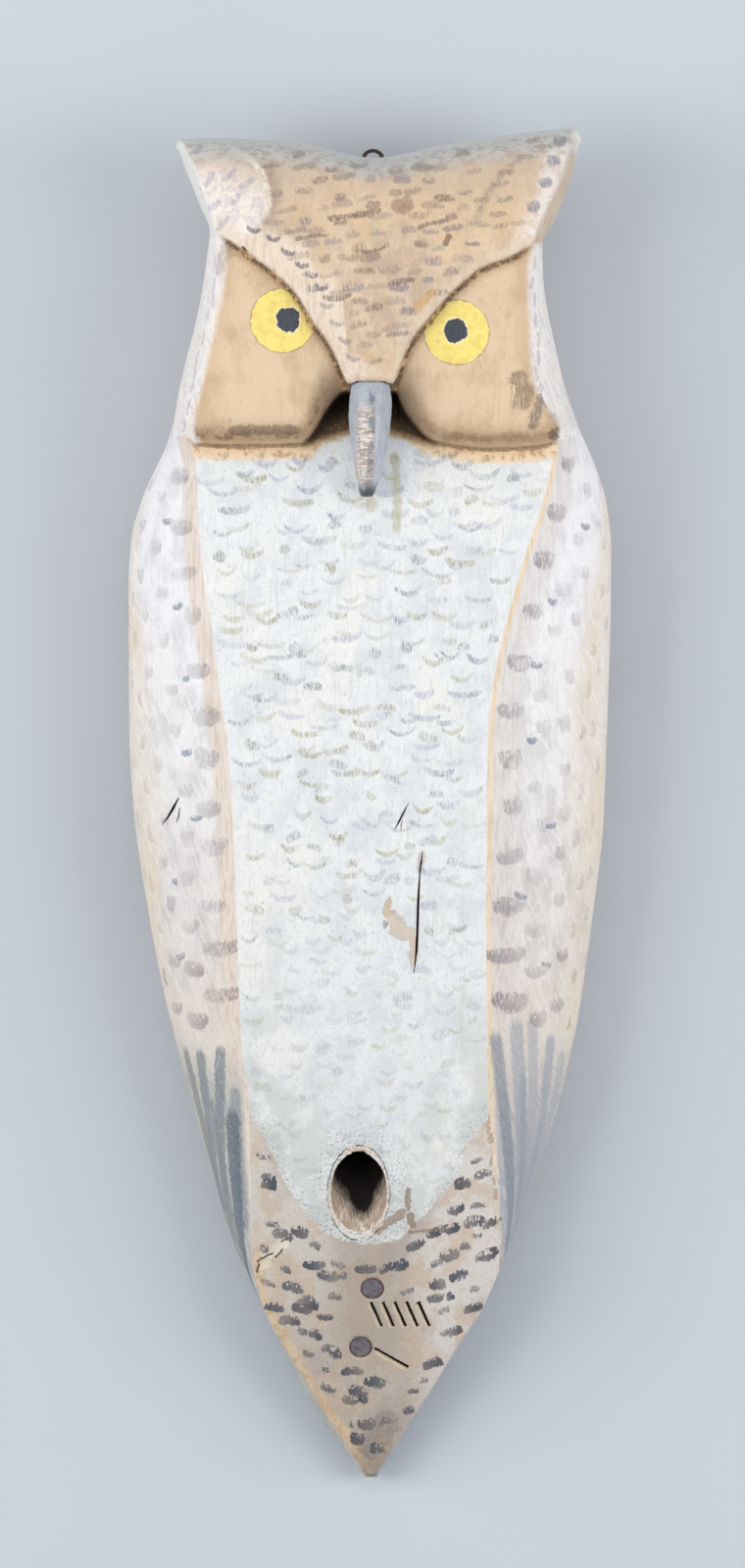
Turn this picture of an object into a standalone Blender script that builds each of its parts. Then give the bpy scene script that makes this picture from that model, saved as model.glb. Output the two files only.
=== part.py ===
# Owl decoy carved from one block of wood, lying on its back.
# Metres. +Y runs from the tail to the ears, +Z out of the breast, and +X to the right in the front view.
# The origin is under the middle of the owl, on the surface that its flat back rests on.

import math

import bmesh
import bpy
from mathutils import Matrix, Vector

MM = 0.001

# Sizes below are in millimetres. A height is counted from the tail tip towards the ears,
# a side from the centre line outwards, and a depth from the flat back towards the breast.

EAR_TOP = 610.5            # height of the right ear tip, which is the whole length
MIDDLE_SIDE = -0.1         # middle of the whole width, as a side
GAP = 0.3                  # clearance between pieces that touch

# Outline seen from the front, as (height, side). It is carved by hand, so the two sides differ.
LEFT_OUTLINE = [
    (0, 2.0), (20, 17.5), (43, 31.6), (84, 51.5), (103, 60.3), (130, 69.4), (174, 81.6), (219, 93.0),
    (265, 101.5), (303, 106.7), (340, 109.0), (405, 109.2), (427, 107.6), (444, 102.8), (469, 91.6),
    (478, 88.8), (493, 86.2), (528, 77.6), (559, 72.8), (564, 72.2), (575, 76.8), (591, 83.6), (602, 87.6)]
RIGHT_OUTLINE = [
    (0, 2.9), (20, 16.1), (53, 38.2), (75, 49.8), (101, 61.3), (126, 70.7), (164, 83.8), (191, 90.6),
    (251, 100.1), (298, 105.4), (357, 107.7), (420, 109.0), (442, 106.7), (456, 102.4), (478, 93.3),
    (505, 85.4), (545, 78.2), (559, 77.8), (568, 83.2), (586, 90.8), (604, 95.2)]

# Ridge where the flat front turns into the wings, the cheeks and the sides of the ears.
LEFT_RIDGE = [
    (0, 1.2), (43, 28.2), (84, 50.0), (100, 53.0), (175, 54.6), (190, 57.2), (312, 62.1), (375, 69.6),
    (420, 76.0), (464, 78.5), (474, 82.0), (500, 76.7), (553, 67.4), (564, 69.6), (602, 84.6)]
RIGHT_RIDGE = [
    (0, 1.8), (53, 34.8), (101, 59.6), (131, 57.6), (164, 53.6), (250, 52.2), (333, 52.8), (361, 55.5),
    (409, 67.0), (447, 78.9), (464, 82.4), (476, 85.0), (488, 77.0), (500, 73.0), (545, 71.4), (559, 73.6),
    (586, 85.6), (604, 90.6)]

# Lines that cross the head, as (side, height), with sides left of the centre line below zero.
DISC_FOOT = [
    (-90, 475), (-84, 473), (-79, 467.5), (-60, 466.5), (-31, 467.2), (-24.5, 474), (-19, 483.5),
    (-11.5, 490.7), (11.5, 490.7), (14.5, 483.5), (20.5, 475.5), (27, 469.4), (37, 466.6), (54, 465),
    (72, 465.8), (84, 468.5), (93, 475)]
BROW_EDGE = [
    (-72.2, 564), (-56.4, 553.8), (-42.2, 543.2), (-33.4, 534.4), (-26.3, 522.9), (-18.3, 511.5),
    (-13.5, 501.5), (-9.8, 494.2), (11.2, 494.2), (13.2, 500.5), (18, 512.3), (27.2, 524.2), (36.5, 534.8),
    (50.6, 546.4), (62.5, 550.8), (71.4, 556), (77.8, 559)]
CROWN_TOP = [
    (-87.6, 602), (-85.6, 605.6), (-66, 606), (-48.8, 605.1), (-35, 604.3), (-25, 602.7), (-14.8, 600.2),
    (-4.6, 597.7), (1.1, 597.2), (6.9, 597.6), (16.6, 599.4), (25.4, 601.5), (37.8, 603.8), (54.6, 606.5),
    (69.2, 608.3), (83.8, 610), (90.2, 610.5), (94, 608.4), (95.2, 604)]

# Depths along the centre line, as (height, depth).
BREAST_DEPTH = [
    (0, 15), (20, 24), (60, 39), (100, 54), (150, 73), (200, 87), (260, 98), (320, 104.5), (380, 107),
    (430, 105), (455, 101), (468, 97), (491, 86)]
SIDE_DEPTH = [
    (0, 10), (60, 16), (100, 23), (200, 37), (300, 45), (400, 49), (450, 53), (480, 58), (540, 63),
    (604, 68)]
BACK_DEPTH = [(0, 6), (25, 2.2), (60, 0), (430, 0), (470, 3.5), (505, 5), (545, 2.5), (575, 5), (597, 20)]
CROWN_DEPTH = [(493, 117), (520, 121), (550, 120), (575, 115.5), (610, 108)]

BREAST_CROWN = 5.5         # how much the breast falls from the centre line to the ridge
DISC_DEPTH = 109.0         # face beside the beak
DISC_FALL = 0.09           # slant of the face to the sides
DISC_ROLL = 9.0            # height over which the lower edge of the face rolls under
DISC_ROLL_DROP = 4.5
CROWN_FALL = 0.15          # slant of the crown to the ear tips
BROW_BEVEL = 13.0          # height of the bevelled band along the brow
BROW_BEVEL_DROP = 3.2
CROWN_ROUND = 15.0         # rounding of the crown's front edge
CROWN_BACK_ROUND = 46.0
CUT_WIDTH = 1.4            # height over which a carved step falls
CHEEK_BLEND = 15.0         # height above and below its foot over which the cheek runs into the shoulder

WING_SLANT = 0.30          # share of the wing's fall that is a straight bevel
FLAT_SHARE = 0.40          # share of the half width over which the back is flat

FRONT_COLUMNS = 9          # columns from the centre line to the ridge
WING_COLUMNS = 4           # columns from the ridge to the outline
COLUMN_CROWDING = 1.3      # columns stand closer beside the beak
BODY_ROWS = 30
DISC_ROWS = 6
CROWN_ROWS = 7
BODY_ROW_BEND = 7          # how late the rows of the breast start to follow the foot of the face
DISC_ROW_CROWDING = 1.4    # rows stand closer at the rolled foot of the face
CROWN_ROW_CROWDING = 1.7   # and at the rounded top of the crown
TIP_MERGE = 1.2            # corners closer than this are one at the tail tip
SLIVER = 0.02              # edges shorter than this are taken out

SOCKET_WIDTH = 25.4        # one inch bore for the pole
SOCKET_AT = (-5.1, 131.0)  # middle of the mouth, as side and height
SOCKET_SLANT = math.radians(20)
SOCKET_DEPTH = 88.0
SOCKET_CUT_ABOVE = 45.0    # how far the slanted cutter starts in front of the wood
CUT_ABOVE = 4.0            # the same for the cutters that stand upright

NAIL_HEAD_WIDTH = 10.2
NAIL_HEAD_THICKNESS = 1.6
NAIL_SHANK_WIDTH = 3.4
NAIL_LENGTH = 24.0
NAIL_SUNK = 0.3            # how far the head lies below the wood
NAIL_SIDES = 20
NAIL_UPPER_AT = (1.0, 87.1)
NAIL_LOWER_AT = (-4.2, 60.3)

EYE_WIRE = 2.0             # thickness of the hanging eye's wire
EYE_WIDTH = 10.2           # across the outside of the loop
EYE_TOP = 604.8
EYE_SIDE = 1.3
EYE_DEPTH = 40.0
EYE_LEG_END = 571.0

STROKE_WIDTH = 1.6
STROKE_CUT = 1.5           # depth of the carved strokes on the tail
STROKE_COUNT = 5
STROKE_LENGTH = 12.5
STROKE_PITCH = 5.4
STROKE_LEAN = math.radians(24)
STROKES_AT = (2.8, 75.5)   # middle of the first stroke
LONG_STROKE = ((1.7, 60.0), (17.4, 51.0))

# The beak, as (height, half width, half width of the ridge facet, front depth, back depth).
BEAK_SECTIONS = [
    (495.0, 8.6, 4.4, 118.5, 97.0), (490.0, 9.6, 4.9, 122.0, 95.0), (482.5, 10.0, 4.6, 126.0, 94.0),
    (474.0, 9.4, 4.2, 128.5, 95.5), (465.0, 8.2, 3.6, 128.5, 99.5), (456.0, 6.5, 3.1, 126.0, 104.5),
    (449.0, 4.7, 2.6, 122.5, 108.0), (443.5, 3.1, 2.0, 118.5, 110.0)]
BEAK_LEAN = -1.6           # the tip stands this far left of the root
BEAK_SIDE = 0.2
BEAK_BACK_SHARE = 0.72     # width of the buried back as a share of the width in front of it
BEAK_WAIST = 0.5           # where the beak is widest, from its back to its front


# A smooth line through (place, value) stations that never overshoots them.
def smooth_line(stations):
    places = [station[0] for station in stations]
    values = [station[1] for station in stations]
    slopes = [(values[i + 1] - values[i]) / (places[i + 1] - places[i]) for i in range(len(places) - 1)]
    tangents = [slopes[0]]
    for before, after in zip(slopes, slopes[1:]):
        same_way = before * after > 0
        tangents.append(2 * before * after / (before + after) if same_way else 0.0)
    tangents.append(slopes[-1])

    def value_at(place):
        place = min(max(place, places[0]), places[-1])
        i = 0
        while i < len(places) - 2 and place > places[i + 1]:
            i += 1
        span = places[i + 1] - places[i]
        t = (place - places[i]) / span
        return (values[i] * (1 + 2 * t) * (1 - t) ** 2 + tangents[i] * span * t * (1 - t) ** 2
                + values[i + 1] * t * t * (3 - 2 * t) - tangents[i + 1] * span * t * t * (1 - t))

    return value_at


left_outline = smooth_line(LEFT_OUTLINE)
right_outline = smooth_line(RIGHT_OUTLINE)
left_ridge = smooth_line(LEFT_RIDGE)
right_ridge = smooth_line(RIGHT_RIDGE)
disc_foot = smooth_line(DISC_FOOT)
brow_edge = smooth_line(BROW_EDGE)
crown_top = smooth_line(CROWN_TOP)
breast_depth = smooth_line(BREAST_DEPTH)
side_depth = smooth_line(SIDE_DEPTH)
back_depth = smooth_line(BACK_DEPTH)
crown_depth = smooth_line(CROWN_DEPTH)


def mix(a, b, t):
    return a + (b - a) * t


def quarter_round(t):
    t = min(max(t, 0.0), 1.0)
    return math.sqrt(1 - (1 - t) ** 2)


# A point given by side, height and depth in millimetres, in the part's own frame.
def place(side, height, depth):
    return Vector(((side - MIDDLE_SIDE) * MM, (height - EAR_TOP / 2) * MM, depth * MM))


def outline(sign, height):
    return right_outline(height) if sign > 0 else left_outline(height)


def ridge(sign, height):
    line = right_ridge if sign > 0 else left_ridge
    return min(line(height), outline(sign, height) - 0.6)


# Depth of the breast and tail in front of the back.
def breast_surface(side, height):
    share = abs(side) / max(ridge(side, height), 1.0)
    crown = BREAST_CROWN * min(1.0, height / 150)
    return breast_depth(height) - crown * min(share, 1.0) ** 2


# Depth of the face, whose lower edge rolls under.
def disc_surface(side, height):
    above = height - disc_foot(side)
    roll = DISC_ROLL_DROP * (1 - quarter_round(above / DISC_ROLL))
    return DISC_DEPTH - DISC_FALL * abs(side) - roll


# Depth beside the face, where the cheek runs into the shoulder without a step.
def cheek_surface(side, height):
    t = min(max((height - disc_foot(side)) / CHEEK_BLEND / 2 + 0.5, 0.0), 1.0)
    return mix(breast_surface(side, height), DISC_DEPTH - DISC_FALL * abs(side), t * t * (3 - 2 * t))


# Depth of the crown and ears, bevelled along the brow and rounded at the top.
def crown_surface(side, height):
    bevel = BROW_BEVEL_DROP * (1 - min(1.0, (height - brow_edge(side)) / BROW_BEVEL))
    depth = crown_depth(height) - CROWN_FALL * abs(side) - bevel
    top_depth = side_depth(EAR_TOP)
    return mix(top_depth, depth, quarter_round((crown_top(side) - height) / CROWN_ROUND))


# Depth of the back: flat along the middle, round to the outline and over the crown.
def back_surface(side, height):
    reach = abs(side) / outline(side, height)
    round_share = min(max((reach - FLAT_SHARE) / (1 - FLAT_SHARE), 0.0), 1.0)
    depth = mix(back_depth(height), side_depth(height), 1 - math.sqrt(1 - round_share ** 2))
    return mix(side_depth(EAR_TOP), depth, quarter_round((crown_top(side) - height) / CROWN_BACK_ROUND))


# A straight line across the back between the two outline ends of a line across the front.
def straight_back(height_at):
    left_end = height_at(-EAR_TOP)
    right_end = height_at(EAR_TOP)
    middle = (left_end + right_end) / 2
    return lambda side: mix(left_end, right_end, 0.5 + 0.5 * side / outline(side, middle))


# The rows that lie across: the height at a side on the front, that on the back, and the front's surface.
def make_rows():
    made = []
    foot_level = disc_foot(-60)
    for i in range(BODY_ROWS + 1):
        t = i / BODY_ROWS

        def body_height(side, t=t):
            end = disc_foot(side) - CUT_WIDTH / 2
            return foot_level * t + (end - foot_level) * t ** BODY_ROW_BEND

        made.append((body_height, straight_back(body_height), breast_surface))
    for i in range(DISC_ROWS + 1):
        t = (i / DISC_ROWS) ** DISC_ROW_CROWDING

        def disc_height(side, t=t):
            return mix(disc_foot(side) + CUT_WIDTH / 2, brow_edge(side) - CUT_WIDTH / 2, t)

        made.append((disc_height, straight_back(disc_height), disc_surface))
    brow_back = straight_back(brow_edge)
    for i in range(CROWN_ROWS + 1):
        t = 1 - (1 - i / CROWN_ROWS) ** CROWN_ROW_CROWDING

        def crown_height(side, t=t):
            return mix(brow_edge(side) + CUT_WIDTH / 2, crown_top(side), t)

        def crown_back_height(side, t=t):
            return mix(brow_back(side) + CUT_WIDTH / 2, crown_top(side), t)

        made.append((crown_height, crown_back_height, crown_surface))
    return made


# The columns, from the left outline to the right one: which side, whether on the front or the wing,
# and how far from the centre line to the ridge, or from the ridge to the outline.
def columns():
    wing = [math.sin(math.pi / 2 * k / WING_COLUMNS) for k in range(WING_COLUMNS, 0, -1)]
    front = [(k / FRONT_COLUMNS) ** COLUMN_CROWDING for k in range(FRONT_COLUMNS, 0, -1)]
    left = [(-1, "wing", share) for share in wing] + [(-1, "front", share) for share in front]
    right = [(1, zone, share) for _, zone, share in reversed(left)]
    return left + [(1, "front", 0.0)] + right


# Where one column crosses one row, on the front and on the back.
def crossing(row, column):
    height_at, back_height_at, surface = row
    sign, zone, share = column
    edge_height = height_at(sign * EAR_TOP)
    edge_side = outline(sign, edge_height)
    ridge_side = ridge(sign, edge_height)
    if zone == "front":
        side = sign * ridge_side * share
        height = height_at(side)
        front = surface(side, height)
        if share == 1.0 and surface is not crown_surface:
            front = cheek_surface(side, height)
    else:
        side = sign * mix(ridge_side, edge_side, share)
        height = height_at(side)
        at_ridge = surface(sign * ridge_side, height_at(sign * ridge_side))
        if surface is not crown_surface:
            at_ridge = cheek_surface(sign * ridge_side, height)
        fall = WING_SLANT * share + (1 - WING_SLANT) * (1 - math.sqrt(1 - share ** 2))
        front = mix(at_ridge, side_depth(height), fall)
    back_height = back_height_at(side)
    return (side, height, front), (side, back_height, back_surface(side, back_height))


# One closed skin: a front and a back sheet that share the outline, the crown's top and the tail tip.
def make_body():
    mesh = bmesh.new()
    rows = make_rows()
    across = columns()
    front_grid = []
    back_grid = []
    for number, row in enumerate(rows):
        at_end = number in (0, len(rows) - 1)
        front_line = []
        back_line = []
        for column in across:
            front, back = crossing(row, column)
            if at_end or (column[1] == "wing" and column[2] == 1.0):
                end_depth = side_depth(EAR_TOP) if number else side_depth(0)
                depth = end_depth if at_end else front[2]
                vertex = mesh.verts.new(place(front[0], front[1], depth))
                front_line.append(vertex)
                back_line.append(vertex)
            else:
                front_line.append(mesh.verts.new(place(*front)))
                back_line.append(mesh.verts.new(place(*back)))
        front_grid.append(front_line)
        back_grid.append(back_line)
    for grid in (front_grid, back_grid):
        for lower, upper in zip(grid, grid[1:]):
            for i in range(len(across) - 1):
                mesh.faces.new((lower[i], lower[i + 1], upper[i + 1], upper[i]))
    bmesh.ops.remove_doubles(mesh, verts=front_grid[0], dist=TIP_MERGE * MM)
    bmesh.ops.dissolve_degenerate(mesh, edges=mesh.edges, dist=SLIVER * MM)
    bmesh.ops.triangulate(mesh, faces=mesh.faces)
    bmesh.ops.recalc_face_normals(mesh, faces=mesh.faces)
    return mesh


# The outward direction of the front at a place, taken from the slope of the breast.
def front_normal(side, height):
    step = 2.0
    here = place(side, height, breast_surface(side, height))
    across = place(side + step, height, breast_surface(side + step, height)) - here
    along = place(side, height + step, breast_surface(side, height + step)) - here
    return across.cross(along).normalized()


def turned_to(direction):
    return direction.to_track_quat("Z", "Y").to_matrix().to_4x4()


def collection(name):
    made = bpy.data.collections.new(name)
    bpy.context.scene.collection.children.link(made)
    return made


def material(name, color, roughness, metallic=0.0):
    made = bpy.data.materials.new(name)
    made.use_nodes = True
    shader = made.node_tree.nodes["Principled BSDF"]
    shader.inputs["Base Color"].default_value = (*color, 1.0)
    shader.inputs["Roughness"].default_value = roughness
    shader.inputs["Metallic"].default_value = metallic
    return made


def add_object(name, mesh, group, finish=None):
    data = bpy.data.meshes.new(name)
    mesh.to_mesh(data)
    mesh.free()
    made = bpy.data.objects.new(name, data)
    group.objects.link(made)
    if finish:
        data.materials.append(finish)
    return made


# A cutter is kept, hidden, in its own collection and cut from a piece by a Boolean modifier.
def cut(piece, cutter):
    cutter.hide_render = True
    cutter.display_type = "WIRE"
    boolean = piece.modifiers.new("cut " + cutter.name, "BOOLEAN")
    boolean.operation = "DIFFERENCE"
    boolean.solver = "EXACT"
    boolean.object = cutter


def rod(mesh, radius, start, end, sides):
    axis = end - start
    turn = Matrix.Translation((start + end) / 2) @ turned_to(axis.normalized())
    bmesh.ops.create_cone(mesh, cap_ends=True, segments=sides, radius1=radius, radius2=radius,
                          depth=axis.length, matrix=turn)


# The pole's bore, slanted into the body towards the head.
def socket_cutter():
    side, height = SOCKET_AT
    mouth = place(side, height, breast_surface(side, height))
    inward = Vector((0, math.cos(SOCKET_SLANT), -math.sin(SOCKET_SLANT)))
    mesh = bmesh.new()
    rod(mesh, SOCKET_WIDTH / 2 * MM, mouth - inward * SOCKET_CUT_ABOVE * MM,
        mouth + inward * SOCKET_DEPTH * MM, 28)
    return mesh


# A nail is a turned profile: flat head, then shank. A cutter of the same shape is larger by the gap.
def nail_mesh(at, grow):
    side, height = at
    normal = front_normal(side, height)
    surface = place(side, height, breast_surface(side, height))
    head = (NAIL_HEAD_WIDTH / 2 + grow) * MM
    shank = (NAIL_SHANK_WIDTH / 2 + grow) * MM
    under_head = -(NAIL_HEAD_THICKNESS + grow) * MM
    end = -(NAIL_LENGTH + grow) * MM
    above = CUT_ABOVE * MM if grow else -NAIL_SUNK * MM
    profile = [(0, above), (head, above), (head, under_head), (shank, under_head), (shank, end), (0, end)]
    mesh = bmesh.new()
    points = [mesh.verts.new((x, 0, z)) for x, z in profile]
    edges = [mesh.edges.new(pair) for pair in zip(points, points[1:])]
    bmesh.ops.spin(mesh, geom=points + edges, cent=(0, 0, 0), axis=(0, 0, 1), angle=math.tau,
                   steps=NAIL_SIDES, use_merge=True)
    bmesh.ops.remove_doubles(mesh, verts=mesh.verts, dist=SLIVER * MM)
    bmesh.ops.recalc_face_normals(mesh, faces=mesh.faces)
    bmesh.ops.transform(mesh, matrix=Matrix.Translation(surface) @ turned_to(normal), verts=mesh.verts)
    return mesh


# The beak is a loft of six-cornered sections: a flat ridge, two side facets and a back.
def beak_mesh(grow):
    mesh = bmesh.new()
    rings = []
    last = len(BEAK_SECTIONS) - 1
    for number, (height, half, ridge_half, front, back) in enumerate(BEAK_SECTIONS):
        middle = BEAK_SIDE + BEAK_LEAN * (number / last) ** 2
        height += grow * (1 if number == 0 else -1 if number == last else 0)
        waist = mix(back, front, BEAK_WAIST)
        back_half = half * BEAK_BACK_SHARE
        corners = [
            (ridge_half + grow, front + grow), (half + grow, waist), (back_half + grow, back - grow),
            (-back_half - grow, back - grow), (-half - grow, waist), (-ridge_half - grow, front + grow)]
        rings.append([mesh.verts.new(place(middle + x, height, z)) for x, z in corners])
    for upper, lower in zip(rings, rings[1:]):
        for i in range(len(upper)):
            j = (i + 1) % len(upper)
            mesh.faces.new((upper[i], upper[j], lower[j], lower[i]))
    mesh.faces.new(rings[0])
    mesh.faces.new(rings[-1])
    bmesh.ops.recalc_face_normals(mesh, faces=mesh.faces)
    return mesh


# The hanging eye is a bent wire: two legs down into the crown and a round loop over them.
def hanging_eye(group, finish):
    radius = (EYE_WIDTH - EYE_WIRE) / 2
    centre = EYE_TOP - EYE_WIDTH / 2
    points = [(-radius, EYE_LEG_END), (-radius, mix(EYE_LEG_END, centre, 0.5))]
    for step in range(9):
        angle = math.pi * (1 - step / 8)
        points.append((radius * math.cos(angle), centre + radius * math.sin(angle)))
    points += [(radius, height) for _, height in reversed(points[:2])]
    curve = bpy.data.curves.new("hanging_eye", "CURVE")
    curve.dimensions = "3D"
    curve.bevel_depth = EYE_WIRE / 2 * MM
    curve.bevel_resolution = 2
    curve.use_fill_caps = True
    spline = curve.splines.new("POLY")
    spline.points.add(len(points) - 1)
    for point, (side, height) in zip(spline.points, points):
        point.co = (*place(EYE_SIDE + side, height, EYE_DEPTH), 1)
    curve.materials.append(finish)
    made = bpy.data.objects.new("hanging_eye", curve)
    group.objects.link(made)
    return made


def eye_leg_cutter():
    radius = (EYE_WIDTH - EYE_WIRE) / 2
    mesh = bmesh.new()
    for sign in (-1, 1):
        start = place(EYE_SIDE + sign * radius, EYE_LEG_END - GAP, EYE_DEPTH)
        end = place(EYE_SIDE + sign * radius, EYE_TOP + CUT_ABOVE, EYE_DEPTH)
        rod(mesh, (EYE_WIRE / 2 + GAP) * MM, start, end, 12)
    return mesh


# A row of short leaning strokes on the tail and one long stroke below them.
# Each is cut by a rod that stands on its edge.
def stroke_cutters():
    strokes = []
    side, height = STROKES_AT
    reach_side = STROKE_LENGTH / 2 * math.sin(STROKE_LEAN)
    reach_height = STROKE_LENGTH / 2 * math.cos(STROKE_LEAN)
    for number in range(STROKE_COUNT):
        middle = side + STROKE_PITCH * number
        upper = (middle - reach_side, height + reach_height)
        lower = (middle + reach_side, height - reach_height)
        strokes.append((upper, lower))
    strokes.append(LONG_STROKE)
    mesh = bmesh.new()
    for start, end in strokes:
        ends = [place(*at, breast_surface(*at)) for at in (start, end)]
        normal = front_normal(*start)
        along = (ends[1] - ends[0]).normalized()
        frame = Matrix((along, normal.cross(along), normal)).transposed().to_4x4()
        frame.translation = (ends[0] + ends[1]) / 2
        size = Matrix.Diagonal(((ends[1] - ends[0]).length, STROKE_WIDTH * MM, 2 * STROKE_CUT * MM, 1))
        thin = math.sqrt(0.5)
        on_edge = Matrix.Diagonal((1, thin, thin, 1)) @ Matrix.Rotation(math.pi / 4, 4, "X")
        bmesh.ops.create_cube(mesh, size=1.0, matrix=frame @ size @ on_edge)
    return mesh


def build():
    for old in list(bpy.data.objects):
        bpy.data.objects.remove(old)
    parts = collection("owl_decoy")
    cutters = collection("owl_decoy_cutters")
    paint = material("painted_wood", (0.78, 0.74, 0.69), 0.62)
    beak_paint = material("beak_paint", (0.33, 0.36, 0.42), 0.5)
    nail_steel = material("nail_steel", (0.36, 0.31, 0.33), 0.6, 0.7)
    rusty_wire = material("rusty_wire", (0.27, 0.15, 0.1), 0.75, 0.5)

    body = add_object("owl_body", make_body(), parts, paint)
    cut(body, add_object("socket_cutter", socket_cutter(), cutters))
    cut(body, add_object("beak_seat_cutter", beak_mesh(GAP), cutters))
    cut(body, add_object("eye_leg_cutter", eye_leg_cutter(), cutters))
    cut(body, add_object("stroke_cutters", stroke_cutters(), cutters))
    for name, at in (("nail_upper", NAIL_UPPER_AT), ("nail_lower", NAIL_LOWER_AT)):
        add_object(name, nail_mesh(at, 0), parts, nail_steel)
        cut(body, add_object(name + "_cutter", nail_mesh(at, GAP), cutters))
    add_object("beak", beak_mesh(0), parts, beak_paint)
    hanging_eye(parts, rusty_wire)


build()
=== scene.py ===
import math
import random

import bmesh
import bpy
import numpy as np
from mathutils import Matrix, Vector, noise
from mathutils.bvhtree import BVHTree


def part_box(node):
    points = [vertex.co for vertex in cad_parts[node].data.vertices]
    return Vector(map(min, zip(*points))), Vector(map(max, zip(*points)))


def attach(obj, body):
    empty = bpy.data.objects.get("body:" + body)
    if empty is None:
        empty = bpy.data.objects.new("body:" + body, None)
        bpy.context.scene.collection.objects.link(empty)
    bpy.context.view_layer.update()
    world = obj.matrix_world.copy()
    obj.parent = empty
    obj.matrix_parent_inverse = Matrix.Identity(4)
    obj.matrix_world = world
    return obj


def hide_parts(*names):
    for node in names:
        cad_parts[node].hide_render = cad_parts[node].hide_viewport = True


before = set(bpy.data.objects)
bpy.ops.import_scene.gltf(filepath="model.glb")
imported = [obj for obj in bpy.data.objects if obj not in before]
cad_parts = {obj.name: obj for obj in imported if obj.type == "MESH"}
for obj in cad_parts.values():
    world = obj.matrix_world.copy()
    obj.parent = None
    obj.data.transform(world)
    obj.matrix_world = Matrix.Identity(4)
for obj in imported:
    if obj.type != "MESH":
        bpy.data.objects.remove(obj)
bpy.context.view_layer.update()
print("frame loaded")

mm = 0.001

# Carved lines of the owl in millimetres. Heights run from the tail tip to the ears, sides from the
# centre line outwards and depths from the flat back towards the breast.
carvedLines = {
    "leftOutline": [
        (0, 2.0), (20, 17.5), (43, 31.6), (84, 51.5), (103, 60.3), (130, 69.4), (174, 81.6), (219, 93.0),
        (265, 101.5), (303, 106.7), (340, 109.0), (405, 109.2), (427, 107.6), (444, 102.8), (469, 91.6),
        (478, 88.8), (493, 86.2), (528, 77.6), (559, 72.8), (564, 72.2), (575, 76.8), (591, 83.6),
        (602, 87.6)],
    "rightOutline": [
        (0, 2.9), (20, 16.1), (53, 38.2), (75, 49.8), (101, 61.3), (126, 70.7), (164, 83.8), (191, 90.6),
        (251, 100.1), (298, 105.4), (357, 107.7), (420, 109.0), (442, 106.7), (456, 102.4), (478, 93.3),
        (505, 85.4), (545, 78.2), (559, 77.8), (568, 83.2), (586, 90.8), (604, 95.2)],
    "leftRidge": [
        (0, 1.2), (43, 28.2), (84, 50.0), (100, 53.0), (175, 54.6), (190, 57.2), (312, 62.1), (375, 69.6),
        (420, 76.0), (464, 78.5), (474, 82.0), (500, 76.7), (553, 67.4), (564, 69.6), (602, 84.6)],
    "rightRidge": [
        (0, 1.8), (53, 34.8), (101, 59.6), (131, 57.6), (164, 53.6), (250, 52.2), (333, 52.8), (361, 55.5),
        (409, 67.0), (447, 78.9), (464, 82.4), (476, 85.0), (488, 77.0), (500, 73.0), (545, 71.4),
        (559, 73.6), (586, 85.6), (604, 90.6)],
    "discFoot": [
        (-90, 475), (-84, 473), (-79, 467.5), (-60, 466.5), (-31, 467.2), (-24.5, 474), (-19, 483.5),
        (-11.5, 490.7), (11.5, 490.7), (14.5, 483.5), (20.5, 475.5), (27, 469.4), (37, 466.6), (54, 465),
        (72, 465.8), (84, 468.5), (93, 475)],
    "browEdge": [
        (-72.2, 564), (-56.4, 553.8), (-42.2, 543.2), (-33.4, 534.4), (-26.3, 522.9), (-18.3, 511.5),
        (-13.5, 501.5), (-9.8, 494.2), (11.2, 494.2), (13.2, 500.5), (18, 512.3), (27.2, 524.2),
        (36.5, 534.8), (50.6, 546.4), (62.5, 550.8), (71.4, 556), (77.8, 559)],
    "crownTop": [
        (-87.6, 602), (-85.6, 605.6), (-66, 606), (-48.8, 605.1), (-35, 604.3), (-25, 602.7), (-14.8, 600.2),
        (-4.6, 597.7), (1.1, 597.2), (6.9, 597.6), (16.6, 599.4), (25.4, 601.5), (37.8, 603.8),
        (54.6, 606.5), (69.2, 608.3), (83.8, 610), (90.2, 610.5), (94, 608.4), (95.2, 604)],
    "breastDepth": [
        (0, 15), (20, 24), (60, 39), (100, 54), (150, 73), (200, 87), (260, 98), (320, 104.5), (380, 107),
        (430, 105), (455, 101), (468, 97), (491, 86)],
    "sideDepth": [
        (0, 10), (60, 16), (100, 23), (200, 37), (300, 45), (400, 49), (450, 53), (480, 58), (540, 63),
        (604, 68)],
    "backDepth": [
        (0, 6), (25, 2.2), (60, 0), (430, 0), (470, 3.5), (505, 5), (545, 2.5), (575, 5), (597, 20)],
    "crownDepth": [(493, 117), (520, 121), (550, 120), (575, 115.5), (610, 108)],
    "panelFoot": [
        (-53.7, 166.2), (-49.3, 158.7), (-43.5, 147.6), (-39.6, 138.3), (-33.8, 128.6), (-26.5, 119.3),
        (-20.6, 112.7), (-11.7, 109.2), (-0.7, 107.8), (12.2, 109.2), (21.0, 118.5), (25.4, 121.6),
        (30.3, 128.2), (36.5, 135.3), (40.9, 142.8), (42.7, 149.8), (46.6, 157.4), (52.4, 164.4)],
}

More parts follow.
